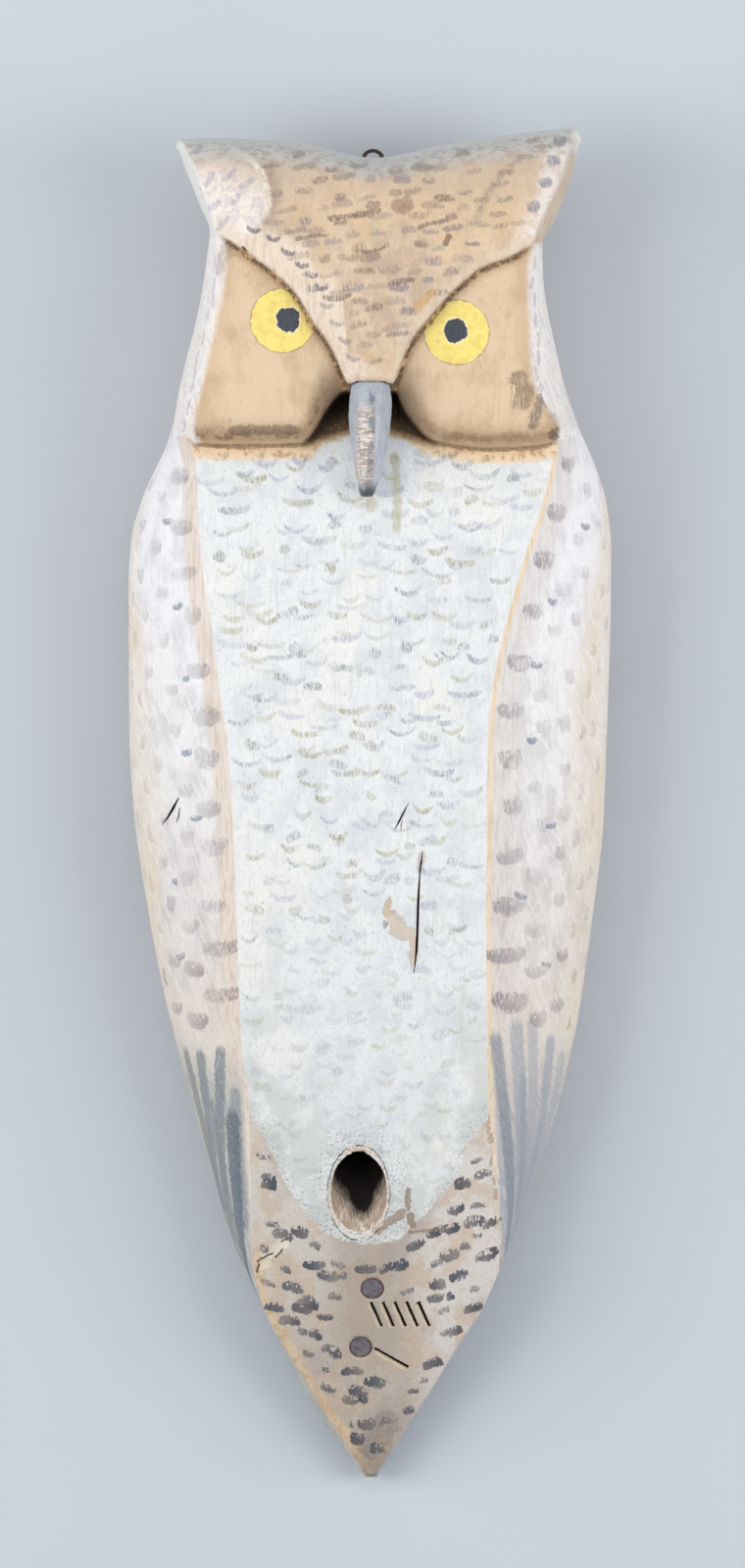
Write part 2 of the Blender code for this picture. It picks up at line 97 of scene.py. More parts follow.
# Sizes of the carved body in millimetres, and how finely it is meshed.
body = {
    "length": 610.5, "middleSide": -0.1, "breastCrown": 5.5, "discDepth": 109.0, "discFall": 0.09,
    "discRoll": 9.0, "discRollDrop": 4.5, "crownFall": 0.15, "browBevel": 13.0, "browBevelDrop": 3.2,
    "crownRound": 15.0, "crownBackRound": 46.0, "cutWidth": 1.4, "cheekBlend": 15.0, "cheekWidth": 10.0,
    "wingSlant": 0.30, "flatShare": 0.40,
    "frontColumns": 33, "wingColumns": 21, "bodyRows": 240, "discRows": 56, "crownRows": 60,
    "unevenness": 0.32, "toolMarks": 0.11, "roughCuts": 0.38, "paintBead": 0.55,
}


def smoothLine(stations):
    places, values = np.array(stations, float).T
    slopes = np.diff(values) / np.diff(places)
    product = slopes[:-1] * slopes[1:]
    total = np.where(product > 0, slopes[:-1] + slopes[1:], 1.0)
    tangents = np.concatenate((slopes[:1], np.where(product > 0, 2 * product / total, 0.0), slopes[-1:]))

    def valueAt(place):
        place = np.clip(place, places[0], places[-1])
        i = np.clip(np.searchsorted(places, place, side="right") - 1, 0, len(places) - 2)
        span = places[i + 1] - places[i]
        t = (place - places[i]) / span
        return (values[i] * (1 + 2 * t) * (1 - t) ** 2 + tangents[i] * span * t * (1 - t) ** 2
                + values[i + 1] * t * t * (3 - 2 * t) - tangents[i + 1] * span * t * t * (1 - t))

    return valueAt


line = {name: smoothLine(stations) for name, stations in carvedLines.items()}


def mix(a, b, t):
    return a + (b - a) * t


def ease(t):
    t = np.clip(t, 0.0, 1.0)
    return t * t * (3 - 2 * t)


def quarterRound(t):
    return np.sqrt(1 - (1 - np.clip(t, 0.0, 1.0)) ** 2)


def outlineAt(side, height):
    return np.where(side > 0, line["rightOutline"](height), line["leftOutline"](height))


def ridgeAt(side, height):
    found = np.where(side > 0, line["rightRidge"](height), line["leftRidge"](height))
    return np.minimum(found, outlineAt(side, height) - 0.6)


def breastSurface(side, height):
    share = np.minimum(np.abs(side) / np.maximum(ridgeAt(side, height), 1.0), 1.0)
    crown = body["breastCrown"] * np.minimum(1.0, height / 150)
    return line["breastDepth"](height) - crown * share ** 2


def discSurface(side, height):
    above = height - line["discFoot"](side)
    roll = body["discRollDrop"] * (1 - quarterRound(above / body["discRoll"]))
    return body["discDepth"] - body["discFall"] * np.abs(side) - roll


def cheekSurface(side, height):
    t = ease((height - line["discFoot"](side)) / body["cheekBlend"] / 2 + 0.5)
    return mix(breastSurface(side, height), body["discDepth"] - body["discFall"] * np.abs(side), t)


def crownSurface(side, height):
    overBrow = (height - line["browEdge"](side)) / body["browBevel"]
    bevel = body["browBevelDrop"] * (1 - np.minimum(1.0, overBrow))
    depth = line["crownDepth"](height) - body["crownFall"] * np.abs(side) - bevel
    topDepth = line["sideDepth"](body["length"])
    return mix(topDepth, depth, quarterRound((line["crownTop"](side) - height) / body["crownRound"]))


def backSurface(side, height):
    reach = np.abs(side) / outlineAt(side, height)
    roundShare = np.clip((reach - body["flatShare"]) / (1 - body["flatShare"]), 0.0, 1.0)
    depth = mix(line["backDepth"](height), line["sideDepth"](height), 1 - np.sqrt(1 - roundShare ** 2))
    topDepth = line["sideDepth"](body["length"])
    return mix(topDepth, depth, quarterRound((line["crownTop"](side) - height) / body["crownBackRound"]))


def straightBack(heightAt):
    ends = heightAt(np.array([-body["length"], body["length"]]))
    middle = ends.mean()
    return lambda side: mix(ends[0], ends[1], 0.5 + 0.5 * side / outlineAt(side, middle))


# The lines that lie across the owl: their height on the front, their height on the back, the front's surface.
def bodyLines():
    found = []
    foot, brow, top, half = line["discFoot"], line["browEdge"], line["crownTop"], body["cutWidth"] / 2
    level = foot(-60.0)
    for t in np.linspace(0, 1, body["bodyRows"] + 1):
        heightAt = lambda side, t=t: level * t + (foot(side) - half - level) * t ** 7
        found.append((heightAt, straightBack(heightAt), breastSurface))
    for t in np.linspace(0, 1, body["discRows"] + 1) ** 1.4:
        heightAt = lambda side, t=t: mix(foot(side) + half, brow(side) - half, t)
        found.append((heightAt, straightBack(heightAt), discSurface))
    browBack = straightBack(brow)
    for t in 1 - (1 - np.linspace(0, 1, body["crownRows"] + 1)) ** 1.7:
        heightAt = lambda side, t=t: mix(brow(side) + half, top(side), t)
        backAt = lambda side, t=t: mix(browBack(side) + half, top(side), t)
        found.append((heightAt, backAt, crownSurface))
    return found


# Where each line crosses the columns, on the front sheet and on the back sheet.
def bodySheets():
    wing = np.sin(np.pi / 2 * np.arange(body["wingColumns"], 0, -1) / body["wingColumns"])
    front = (np.arange(body["frontColumns"], 0, -1) / body["frontColumns"]) ** 1.15
    half = np.concatenate((wing, front))
    share = np.concatenate((half, [0.0], half[::-1]))
    onWing = np.concatenate((wing > 0, front < 0, [False], front < 0, wing > 0))
    sign = np.concatenate((-np.ones(len(half)), np.ones(len(half) + 1)))
    edge = onWing & (share > 0.9999)
    fronts, backs = [], []
    allLines = bodyLines()
    for number, (heightAt, backAt, surface) in enumerate(allLines):
        edgeHeight = heightAt(sign * body["length"])
        ridge = ridgeAt(sign, edgeHeight)
        side = sign * np.where(onWing, mix(ridge, outlineAt(sign, edgeHeight), share), ridge * share)
        height = heightAt(side)
        depth = surface(side, height)
        if surface is crownSurface:
            atRidge = surface(sign * ridge, heightAt(sign * ridge))
        else:
            nearRidge = ease((np.abs(side) - ridge) / body["cheekWidth"] + 1)
            depth = mix(depth, cheekSurface(side, height), nearRidge)
            atRidge = cheekSurface(sign * ridge, height)
        fall = body["wingSlant"] * share + (1 - body["wingSlant"]) * (1 - np.sqrt(1 - share ** 2))
        depth = np.where(onWing, mix(atRidge, line["sideDepth"](height), fall), depth)
        backHeight = backAt(side)
        backDepth = backSurface(side, backHeight)
        if number in (0, len(allLines) - 1):
            depth = np.full_like(side, line["sideDepth"](body["length"] if number else 0.0))
            backHeight, backDepth = height, depth
        backHeight = np.where(edge, height, backHeight)
        backDepth = np.where(edge, depth, backDepth)
        fronts.append(np.stack((side, height, depth), 1))
        backs.append(np.stack((side, backHeight, backDepth), 1))
    return np.array(fronts), np.array(backs)


def place(side, height, depth):
    return Vector(((side - body["middleSide"]) * mm, (height - body["length"] / 2) * mm, depth * mm))


def sizesOf(points):
    return (points[:, 0] / mm + body["middleSide"], points[:, 1] / mm + body["length"] / 2, points[:, 2] / mm)


def coordinates(mesh):
    points = np.zeros(len(mesh.vertices) * 3)
    mesh.vertices.foreach_get("co", points)
    return points.reshape(-1, 3)


def addSheet(mesh, points):
    rows, columns = points.shape[:2]
    made = bmesh.ops.create_grid(mesh, x_segments=columns - 1, y_segments=rows - 1, size=1)
    for vertex in made["verts"]:
        column = round((vertex.co.x + 1) / 2 * (columns - 1))
        row = round((vertex.co.y + 1) / 2 * (rows - 1))
        vertex.co = place(*points[row, column])


def addObject(name, mesh, *finishes):
    data = bpy.data.meshes.new(name)
    mesh.to_mesh(data)
    mesh.free()
    for finish in finishes:
        data.materials.append(finish)
    made = bpy.data.objects.new(name, data)
    bpy.context.scene.collection.objects.link(made)
    return made


def smoothShading(data, angle):
    data.shade_smooth()
    data.set_sharp_from_angle(angle=math.radians(angle))


def noiseAt(points, sizes, seed):
    scale = np.array([1 / size for size in sizes])
    shift = np.array([seed * 17.3, seed * 5.1, seed * 9.7])
    return np.array([noise.noise(Vector(point)) for point in points / mm * scale + shift])


# Keeps a piece's points within the corners of its node's box.
def keepInside(data, low, high):
    points = np.clip(coordinates(data), np.array(low), np.array(high))
    data.vertices.foreach_set("co", points.ravel())
    data.update()


# Distances in millimetres from each point to the carved lines, positive towards the ears or the centre.
def gapsAt(side, height):
    def along(name, values, places):
        slope = (line[name](places + 0.5) - line[name](places - 0.5))
        return (values - line[name](places)) / np.sqrt(1 + slope ** 2)

    slope = ridgeAt(side, height + 0.5) - ridgeAt(side, height - 0.5)
    return {
        "ridgeGap": (ridgeAt(side, height) - np.abs(side)) / np.sqrt(1 + slope ** 2),
        "footGap": along("discFoot", height, side),
        "browGap": along("browEdge", height, side),
        "topGap": -along("crownTop", height, side),
        "panelGap": along("panelFoot", height, side),
    }


# Shallow losses in the wood: side, height, turn in degrees, half length, half width, depth.
scoops = [
    (8.6, 261.7, 80, 3.9, 2.6, 0.6), (13.5, 254.5, -48, 6.4, 2.3, 0.7), (19.8, 241.5, 90, 6.5, 1.2, 0.5),
    (-43.5, 104.5, 33, 7.5, 2.4, 1.3), (-46.5, 98.0, 20, 4.0, 1.8, 1.0), (-5.4, 148.6, 10, 3.0, 1.8, 1.2),
    (-56.4, 553.4, 40, 1.4, 1.2, 1.6),
]


# The hand-carved surface: slow waves along the grain, tool marks, rough cuts at the carved steps,
# a bead of thick paint below the face, chips along the right ridge of the tail, and shallow losses.
def carveByHand(data, cadLow, cadHigh):
    points = coordinates(data)
    side, height, depth = sizesOf(points)
    normals = np.zeros(len(points) * 3)
    data.vertices.foreach_get("normal", normals)
    normals = normals.reshape(-1, 3)
    gaps = gapsAt(side, height)
    front = depth > line["sideDepth"](height) + 6
    move = body["unevenness"] * noiseAt(points, (19, 62, 23), 1)
    move += body["toolMarks"] * noiseAt(points, (6.5, 19, 8), 2)
    rough = noiseAt(points, (3.2, 2.6, 3.2), 3)
    nearCut = np.exp(-(gaps["footGap"] / 3.0) ** 2) + np.exp(-((gaps["browGap"] + 1.0) / 2.4) ** 2)
    move += np.where(front & (gaps["ridgeGap"] > -2), body["roughCuts"] * nearCut * rough, 0)
    bead = np.exp(-((gaps["footGap"] + 2.6) / 1.9) ** 2) * ease((np.abs(side) - 19) / 5)
    move += np.where(front & (gaps["ridgeGap"] > 1), body["paintBead"] * bead * (0.8 + 1.3 * rough), 0)
    onChips = (side > 40) & (height > 96) & (height < 172) & front
    chipWave = np.maximum(0, noiseAt(points, (6, 3.4, 9), 4) + 0.05)
    move -= np.where(onChips, 2.2 * chipWave * np.exp(-(gaps["ridgeGap"] / 1.9) ** 2), 0)
    for atSide, atHeight, turn, halfLength, halfWidth, scoopDepth in scoops:
        c, s = math.cos(math.radians(turn)), math.sin(math.radians(turn))
        along = ((side - atSide) * c + (height - atHeight) * s) / halfLength
        across = ((height - atHeight) * c - (side - atSide) * s) / halfWidth
        inside = np.clip(1.25 - along ** 2 - across ** 2, 0, 1)
        move -= np.where(front, scoopDepth * inside ** 0.5 * (0.75 + 0.9 * rough), 0)
    fromBeak = np.hypot(side / 14, (height - 492) / 15)
    painted = np.zeros(len(points), bool)
    for polygon in data.polygons:
        if polygon.material_index == 0:
            painted[list(polygon.vertices)] = True
    move *= np.where(painted & (depth > 1.0), ease((fromBeak - 0.7) / 0.5), 0)
    points += normals * (move * mm)[:, None]
    data.vertices.foreach_set("co", points.ravel())
    keepInside(data, cadLow, cadHigh)


def turnedTo(direction):
    return direction.to_track_quat("Z", "Y").to_matrix().to_4x4()


def breastPoint(side, height):
    return place(side, height, float(breastSurface(np.array(side), np.array(height))))


def breastNormal(side, height):
    step = 2.0
    here = breastPoint(side, height)
    across = breastPoint(side + step, height) - here
    return across.cross(breastPoint(side, height + step) - here).normalized()


# A closed profile turned round the Z axis, as (radius, height) pairs in millimetres.
def lathe(profile, segments):
    mesh = bmesh.new()
    points = [mesh.verts.new((radius * mm, 0, up * mm)) for radius, up in profile]
    edges = [mesh.edges.new(pair) for pair in zip(points, points[1:])]
    bmesh.ops.spin(mesh, geom=points + edges, cent=(0, 0, 0), axis=(0, 0, 1), angle=math.tau,
                   steps=segments, use_merge=True)
    bmesh.ops.remove_doubles(mesh, verts=mesh.verts, dist=0.004 * mm)
    bmesh.ops.recalc_face_normals(mesh, faces=mesh.faces)
    return mesh


# A copy of a CAD node's mesh with its corners merged.
def nodeCopy(name):
    mesh = bmesh.new()
    mesh.from_mesh(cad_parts[name].data)
    bmesh.ops.remove_doubles(mesh, verts=mesh.verts, dist=0.005 * mm)
    bmesh.ops.dissolve_limit(mesh, angle_limit=math.radians(0.6), verts=mesh.verts, edges=mesh.edges)
    bmesh.ops.recalc_face_normals(mesh, faces=mesh.faces)
    return mesh


# A knife-shaped cutter along a line on the wood, pointed at both ends where the widths say so.
def addBlade(mesh, points, normals, widths, depths):
    rings = []
    for i, (point, normal) in enumerate(zip(points, normals)):
        along = (points[min(i + 1, len(points) - 1)] - points[max(i - 1, 0)]).normalized()
        across = along.cross(normal).normalized()
        turn = Matrix((across * widths[i] / 2 * mm, normal * depths[i] * mm, along)).transposed().to_4x4()
        turn.translation = point
        closed = i in (0, len(points) - 1)
        ring = bmesh.ops.create_circle(mesh, segments=4, radius=1, cap_ends=closed, matrix=turn)["verts"]
        rings.append(list({edge for vertex in ring for edge in vertex.link_edges}))
    for lower, upper in zip(rings, rings[1:]):
        bmesh.ops.bridge_loops(mesh, edges=lower + upper)


# Sizes of what is cut into the carved body, in millimetres and degrees.
cuts = {
    "socketWidth": 25.4, "socketSlant": 20, "socketDepth": 88.0, "socketAt": (-5.1, 131.0), "gap": 0.3,
    "socketMouth": (12.9, 20.0), "socketOutside": 45, "wireHole": 1.3,
    "strokeWidth": 1.8, "strokeCut": 1.5, "strokeCount": 5, "strokeLength": 12.5, "strokePitch": 5.4,
    "strokeLean": 24, "strokesAt": (2.8, 75.5), "longStroke": ((1.7, 60.0), (17.4, 51.0)),
}

# Cracks in the breast and the left wing: (side, height, width) along each, and how deep they are.
cracks = [
    ([(23.6, 286, 0.3), (22.9, 280, 1.0), (22.3, 276, 0.7), (21.7, 265, 1.1), (21.3, 252, 1.2),
      (21.0, 241, 1.0), (19.7, 230, 0.25)], 3.0),
    ([(17.6, 307.6, 0.25), (15.6, 303.5, 0.8), (13.2, 298.8, 1.0), (10.7, 294.2, 0.25)], 1.8),
    ([(14.7, 299.8, 0.2), (13.9, 296.6, 0.5), (13.8, 293.8, 0.2)], 0.8),
    ([(-86.0, 309, 0.3), (-88.4, 304.6, 1.3), (-90.6, 300.8, 1.1), (-93.8, 296.4, 0.25)], 2.4),
    ([(-85.6, 304.5, 0.2), (-86.0, 301.0, 0.5), (-87.0, 298.0, 0.2)], 0.8),
]


def surfaceHit(tree, side, height):
    hit, normal, _, _ = tree.ray_cast(place(side, height, 200), Vector((0, 0, -1)))
    return hit, normal


def bodyCutters(tree):
    wood, dark = bmesh.new(), bmesh.new()
    side, height = cuts["socketAt"]
    slant = math.radians(cuts["socketSlant"])
    inward = Vector((0, math.cos(slant), -math.sin(slant)))
    start = breastPoint(side, height) - inward * cuts["socketOutside"] * mm
    length = (cuts["socketOutside"] + cuts["socketDepth"]) * mm
    turn = Matrix.Translation(start + inward * length / 2) @ turnedTo(inward)
    bmesh.ops.create_cone(wood, cap_ends=True, segments=52, radius1=cuts["socketWidth"] / 2 * mm,
                          radius2=cuts["socketWidth"] / 2 * mm, depth=length, matrix=turn)
    longEdges = [edge for edge in wood.edges if edge.calc_length() > length / 2]
    bmesh.ops.subdivide_edges(wood, edges=longEdges, cuts=44, use_grid_fill=True)
    for vertex in wood.verts:
        out = vertex.co - start
        out -= inward * out.dot(inward)
        if out.length > 0:
            wave = noise.noise(vertex.co / mm * 0.35) * 0.35 + noise.noise(vertex.co / mm * 1.1) * 0.15
            vertex.co += out.normalized() * wave * mm
    for name in ("nail_upper", "nail_lower"):
        at = nails[name]
        recess = lathe([(0, 4), (nails["headWidth"] / 2 + 0.35, 4), (nails["headWidth"] / 2 + 0.3, -1.9),
                        (2.0, -1.9), (2.0, -24.3), (0, -24.3)], 36)
        addInto(wood, recess, Matrix.Translation(breastPoint(*at)) @ turnedTo(breastNormal(*at)))
    seat = nodeCopy("beak")
    seat.normal_update()
    for vertex, normal in [(vertex, vertex.normal.copy()) for vertex in seat.verts]:
        vertex.co += normal * cuts["gap"] * mm
    addInto(wood, seat, Matrix.Identity(4))
    eyeLow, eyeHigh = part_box("hanging_eye")
    for x in (eyeLow.x + 1 * mm, eyeHigh.x - 1 * mm):
        middle = Vector((x, (eyeLow.y + eyeHigh.y) / 2 + 4 * mm, (eyeLow.z + eyeHigh.z) / 2))
        bmesh.ops.create_cone(wood, cap_ends=True, segments=18,
                              radius1=cuts["wireHole"] * mm, radius2=cuts["wireHole"] * mm,
                              depth=eyeHigh.y - eyeLow.y + 8.6 * mm,
                              matrix=Matrix.Translation(middle) @ turnedTo(Vector((0, 1, 0))))
    middleSide, middleHeight = cuts["strokesAt"]
    lean = math.radians(cuts["strokeLean"])
    reach = Vector((-math.sin(lean), math.cos(lean))) * cuts["strokeLength"] / 2
    strokes = [(Vector((middleSide + cuts["strokePitch"] * i, middleHeight)) + reach,
                Vector((middleSide + cuts["strokePitch"] * i, middleHeight)) - reach)
               for i in range(cuts["strokeCount"])]
    for upper, lower in strokes + [cuts["longStroke"]]:
        ends = [breastPoint(*upper), breastPoint(*lower)]
        ways = [breastNormal(*upper)] * 2
        addBlade(dark, ends, ways, [cuts["strokeWidth"]] * 2, [cuts["strokeCut"]] * 2)
    for stations, deep in cracks:
        hits = [surfaceHit(tree, atSide, atHeight) for atSide, atHeight, _ in stations]
        widths = [width for _, _, width in stations]
        addBlade(dark, [hit[0] for hit in hits], [hit[1] for hit in hits], widths,
                 [deep * width / max(widths) + 0.3 for width in widths])
    for face in dark.faces:
        face.material_index = 2
    for face in wood.faces:
        face.material_index = 1
    addInto(wood, dark, Matrix.Identity(4))
    bmesh.ops.recalc_face_normals(wood, faces=wood.faces)
    return wood


# Puts one mesh into another at a place, and lets it go.
def addInto(mesh, other, turn):
    bmesh.ops.transform(other, matrix=turn, verts=other.verts)
    data = bpy.data.meshes.new("joined")
    other.to_mesh(data)
    other.free()
    mesh.from_mesh(data)
    bpy.data.meshes.remove(data)


# A socket whose value can be reckoned with.
class Wire:
    def __init__(self, finish, socket):
        self.finish = finish
        self.socket = socket

    def maths(self, operation, *values):
        return self.finish.node("Math", {"operation": operation}, dict(enumerate(values)))

    def __add__(self, other):
        return self.maths("ADD", self, other)

    def __radd__(self, other):
        return self.maths("ADD", other, self)

    def __sub__(self, other):
        return self.maths("SUBTRACT", self, other)

    def __rsub__(self, other):
        return self.maths("SUBTRACT", other, self)

    def __mul__(self, other):
        return self.maths("MULTIPLY", self, other)

    def __rmul__(self, other):
        return self.maths("MULTIPLY", other, self)

    def __truediv__(self, other):
        return self.maths("DIVIDE", self, other)

    def __pow__(self, other):
        return self.maths("POWER", self, other)

    def __abs__(self):
        return self.maths("ABSOLUTE", self)

    def least(self, other):
        return self.maths("MINIMUM", self, other)

    def most(self, other):
        return self.maths("MAXIMUM", self, other)


# A tone given as sRGB numbers from 0 to 255, as Blender's linear colour.
def sRgb(tone):
    return tuple(((c / 255 + 0.055) / 1.055) ** 2.4 if c > 10 else c / 255 / 12.92 for c in tone)


# The nodes of one material.
class Finish:
    def __init__(self, name, roughness=0.6, metallic=0.0):
        self.material = bpy.data.materials.new(name)
        self.material.use_nodes = True
        self.tree = self.material.node_tree
        self.shader = self.tree.nodes["Principled BSDF"]
        self.shader.inputs["Roughness"].default_value = roughness
        self.shader.inputs["Metallic"].default_value = metallic
        self.at = self.node("TexCoord", {}, {}, "Object")

    def node(self, kind, settings, inputs, output=0):
        made = self.tree.nodes.new("ShaderNode" + kind)
        for name, value in settings.items():
            setattr(made, name, value)
        for name, value in inputs.items():
            if isinstance(value, Wire):
                self.tree.links.new(value.socket, made.inputs[name])
            elif isinstance(value, tuple) and made.inputs[name].type == "RGBA":
                made.inputs[name].default_value = (*value, 1)
            else:
                made.inputs[name].default_value = value
        return Wire(self, made.outputs[output])

    def feed(self, name, wire):
        self.tree.links.new(wire.socket, self.shader.inputs[name])

    def split(self, wire):
        made = self.node("SeparateXYZ", {}, {0: wire})
        return [Wire(self, made.socket.node.outputs[i]) for i in range(3)]

    def attribute(self, name, output="Fac"):
        return self.node("Attribute", {"attribute_name": name}, {}, output)

    # Noise whose patches have these sizes in millimetres, from 0 to 1.
    def patches(self, sizes, detail=2.0, roughness=0.5, shift=0.0, at=None):
        scales = tuple((1 if at else 1000) / size for size in sizes)
        scaled = self.node("VectorMath", {"operation": "MULTIPLY_ADD"},
                           {0: at or self.at, 1: scales, 2: (shift, shift, shift)})
        return self.node("TexNoise", {},
                         {"Vector": scaled, "Scale": 1.0, "Detail": detail, "Roughness": roughness})

    # 0 below low, 1 above high, with a soft step between.
    def step(self, value, low, high):
        return self.node("MapRange", {"interpolation_type": "SMOOTHSTEP"},
                         {"Value": value, "From Min": low, "From Max": high})

    # Lays one colour over another. Each is a wire or a tone from 0 to 255.
    def blend(self, under, over, amount):
        under, over = [sRgb(colour) if isinstance(colour, tuple) else colour for colour in (under, over)]
        return self.node("Mix", {"data_type": "RGBA", "clamp_factor": True},
                         {0: amount, 6: under, 7: over}, 2)

    def bump(self, height, distance, strength):
        return self.node("Bump", {}, {"Height": height, "Distance": distance, "Strength": strength})


# One layer of brush marks. Each face carries the mark nearest to it, so that a mark is drawn in its own
# frame: how far along and across it this point lies, its half sizes, its bend and how the brush touched.
def brushMarks(finish, layer, ragged, notches, hairs, rough):
    along, across, _ = finish.split(finish.attribute(layer + "Place", "Vector"))
    halfLength, halfWidth, bend = finish.split(finish.attribute(layer + "Shape", "Vector"))
    teeth, dryness, soft = finish.split(finish.attribute(layer + "Touch", "Vector"))
    strength, tick, fade = finish.split(finish.attribute(layer + "Weight", "Vector"))
    tone = finish.attribute(layer + "Tone", "Color")
    share = along / halfLength
    arc = across - bend * share * share + ragged * (halfWidth * 0.24 + 0.16)
    rounding = (halfLength * 0.7).least(halfWidth * 2.2)
    tip = ((abs(along) - halfLength) / rounding + 1.0).most(0.0)
    width = halfWidth * (1.0 - (tip * tip).least(1.0)) ** 0.5 * (1.0 + rough) + soft * 0.5
    notch = notches[0] + tick * (notches[1] - notches[0])
    upper = width * (1.0 - teeth * notch * 1.2)
    lower = width * (1.0 - (teeth - 0.6).most(0.0) * 2.4 * notch)
    inside = finish.step((upper - arc) / soft, 0.0, 1.0) * finish.step((lower + arc) / soft, 0.0, 1.0)
    inside = inside * finish.step(halfLength - abs(along) + ragged * 0.5, 0.0, 0.5 + 0.08 * halfLength)
    dried = 1.0 - dryness * hairs
    return (inside * dried * strength * (1.0 + fade * share)).least(1.0), tone


def paintedWood():
    finish = Finish("paintedWood", 0.58)
    blend, step = finish.blend, finish.step
    finish.shader.inputs["Specular IOR Level"].default_value = 0.34
    x, y, _ = finish.split(finish.at)
    side = x * 1000 + body["middleSide"]
    height = y * 1000 + body["length"] / 2
    ridgeGap, footGap, browGap = [finish.attribute(name) for name in ("ridgeGap", "footGap", "browGap")]
    topGap, panelGap = finish.attribute("topGap"), finish.attribute("panelGap")
    facing = finish.attribute("facing")
    girth = finish.attribute("girth")

    slow = finish.patches((34, 60, 34), 2.0, 0.5)
    cloudy = finish.patches((11, 17, 11), 3.0, 0.6, 7)
    grain = finish.patches((1.3, 34, 1.3), 4.0, 0.62, 3)
    fine = finish.patches((0.45, 5.5, 0.45), 3.0, 0.6, 11)
    specks = finish.patches((0.9, 1.3, 0.9), 3.0, 0.7, 23)
    sweep = finish.patches((4.2, 4.2, 4.2), 4.0, 0.65, 31)
    ragged = (finish.patches((2.2, 2.8, 2.2), 3.0, 0.7, 41) - 0.5) * 3
    coarseTicks = finish.patches((0.95, 11, 0.95), 1.0, 0.5, 61)
    slanted = finish.node("VectorRotate", {"rotation_type": "Z_AXIS"}, {"Vector": finish.at, "Angle": -0.40})
    slantedMm = finish.node("VectorMath", {"operation": "SCALE"}, {0: slanted, "Scale": 1000.0})
    strokesOver = finish.patches((0.8, 15, 6), 3.0, 0.6, at=slantedMm)
    wobble = ragged * 0.6
    notches = (step(fine, 0.50, 0.58), step(coarseTicks, 0.52, 0.58))
    hairs = step(fine * 0.7 + specks * 0.3, 0.46, 0.55)

    leftSide = step(side, 6.0, -6.0)
    rightSide = 1 - leftSide
    front = step(facing, -3.0, 6.0)
    headFront = step(facing, -16.0, -3.0)
    inner = step(ridgeGap, -0.3, 0.3)

    # Wings: bluish white where they turn to the light, buff towards the edge; on the right a greyer strip
    # beside the panel is painted shade on the facet turned from the light.
    lowness = step(height, 420.0, 215.0)
    wingTop = blend((243, 242, 244), (226, 224, 228), step(cloudy, 0.44, 0.66))
    wingLow = blend((228, 223, 219), (208, 201, 196), step(cloudy, 0.42, 0.66))
    colour = blend(wingTop, wingLow, lowness)
    colour = blend(colour, (232, 216, 192),
                          step(girth + wobble * 5, 32.0, 54.0) * 0.85 * (0.6 + 0.4 * step(slow, 0.42, 0.58)))
    colour = blend(colour, (232, 220, 204), step(height + wobble * 12, 262.0, 196.0) * 0.6)
    colour = blend(colour, (250, 248, 252), step(strokesOver, 0.50, 0.64) * 0.55 * (1 - lowness * 0.4))
    colour = blend(colour, (196, 186, 188), step(grain, 0.54, 0.70) * (0.25 + 0.25 * lowness))
    colour = blend(colour, (190, 182, 180), step(fine, 0.54, 0.68) * 0.30)
    # Painted shade: the greyer strip beside the panel on the right wing.
    shadedInnerStrip = step(girth + wobble * 3, 21.0, 8.0) * rightSide * step(height, 150.0, 210.0)
    colour = blend(colour, blend((218, 210, 203), (198, 189, 184), step(grain, 0.44, 0.60)),
                          shadedInnerStrip * 0.55)

    # A peach band runs outside the white panel; on the right it is only a line.
    bandWidth = 8.5 * leftSide + 2.4 * rightSide
    band = step(girth + wobble * 1.3, bandWidth + 1.3, bandWidth - 1.3) * step(height, 130.0, 150.0)
    peachLeft = blend((230, 217, 206), (214, 198, 184), step(grain, 0.45, 0.62))
    peachRight = blend((238, 216, 186), (226, 200, 168), step(grain, 0.45, 0.62))
    colour = blend(colour, blend(peachRight, peachLeft, leftSide), band * 0.9)

    # Long flight feathers: a grey wash under the dark strokes of the lower wings.
    flight = step(height + wobble * 9 - step(girth, 0.0, 40.0) * 10, 200.0, 166.0)
    flight = flight * step(girth + wobble * 1.5 - 2.6 * step(height, 110.0, 160.0), -1.0, 1.2)
    wash = blend((184, 186, 182), (206, 200, 184), step(grain, 0.44, 0.60))
    washRight = blend((206, 200, 196), (176, 178, 186), step(height + wobble * 10, 184.0, 138.0))
    washRight = blend(washRight, (214, 204, 190), step(grain, 0.52, 0.64) * 0.6)
    wash = blend(wash, washRight, rightSide)
    wash = blend(wash, (142, 149, 160), step(strokesOver, 0.48, 0.60) * 0.5)
    colour = blend(colour, wash, flight * 0.92)

    # Brush marks in layers: those of the wings lie under the paint of the panel, the tail and the head.
    def brushed(under, *layers):
        for layer in layers:
            rough = (specks - 0.5) * 1.6 + (sweep - 0.5) * 2.4 if layer == "scar" else (specks - 0.5) * 1.2
            mask, tone = brushMarks(finish, layer, ragged, notches, hairs, rough)
            under = blend(under, tone, mask)
        return under, mask

    colour, _ = brushed(colour, "flight", "wing")

    # The back is plainer: thin weathered paint over brown wood.
    behind = step(facing, -2.0, -16.0)
    weathered = blend((192, 172, 150), (150, 128, 108), step(grain, 0.42, 0.66))
    weathered = blend(weathered, (216, 204, 188), step(cloudy, 0.46, 0.66) * 0.75)
    weathered = blend(weathered, (116, 98, 84), step(specks * 0.5 + sweep * 0.5, 0.56, 0.66) * 0.45)
    colour = blend(colour, weathered, behind * 0.75)

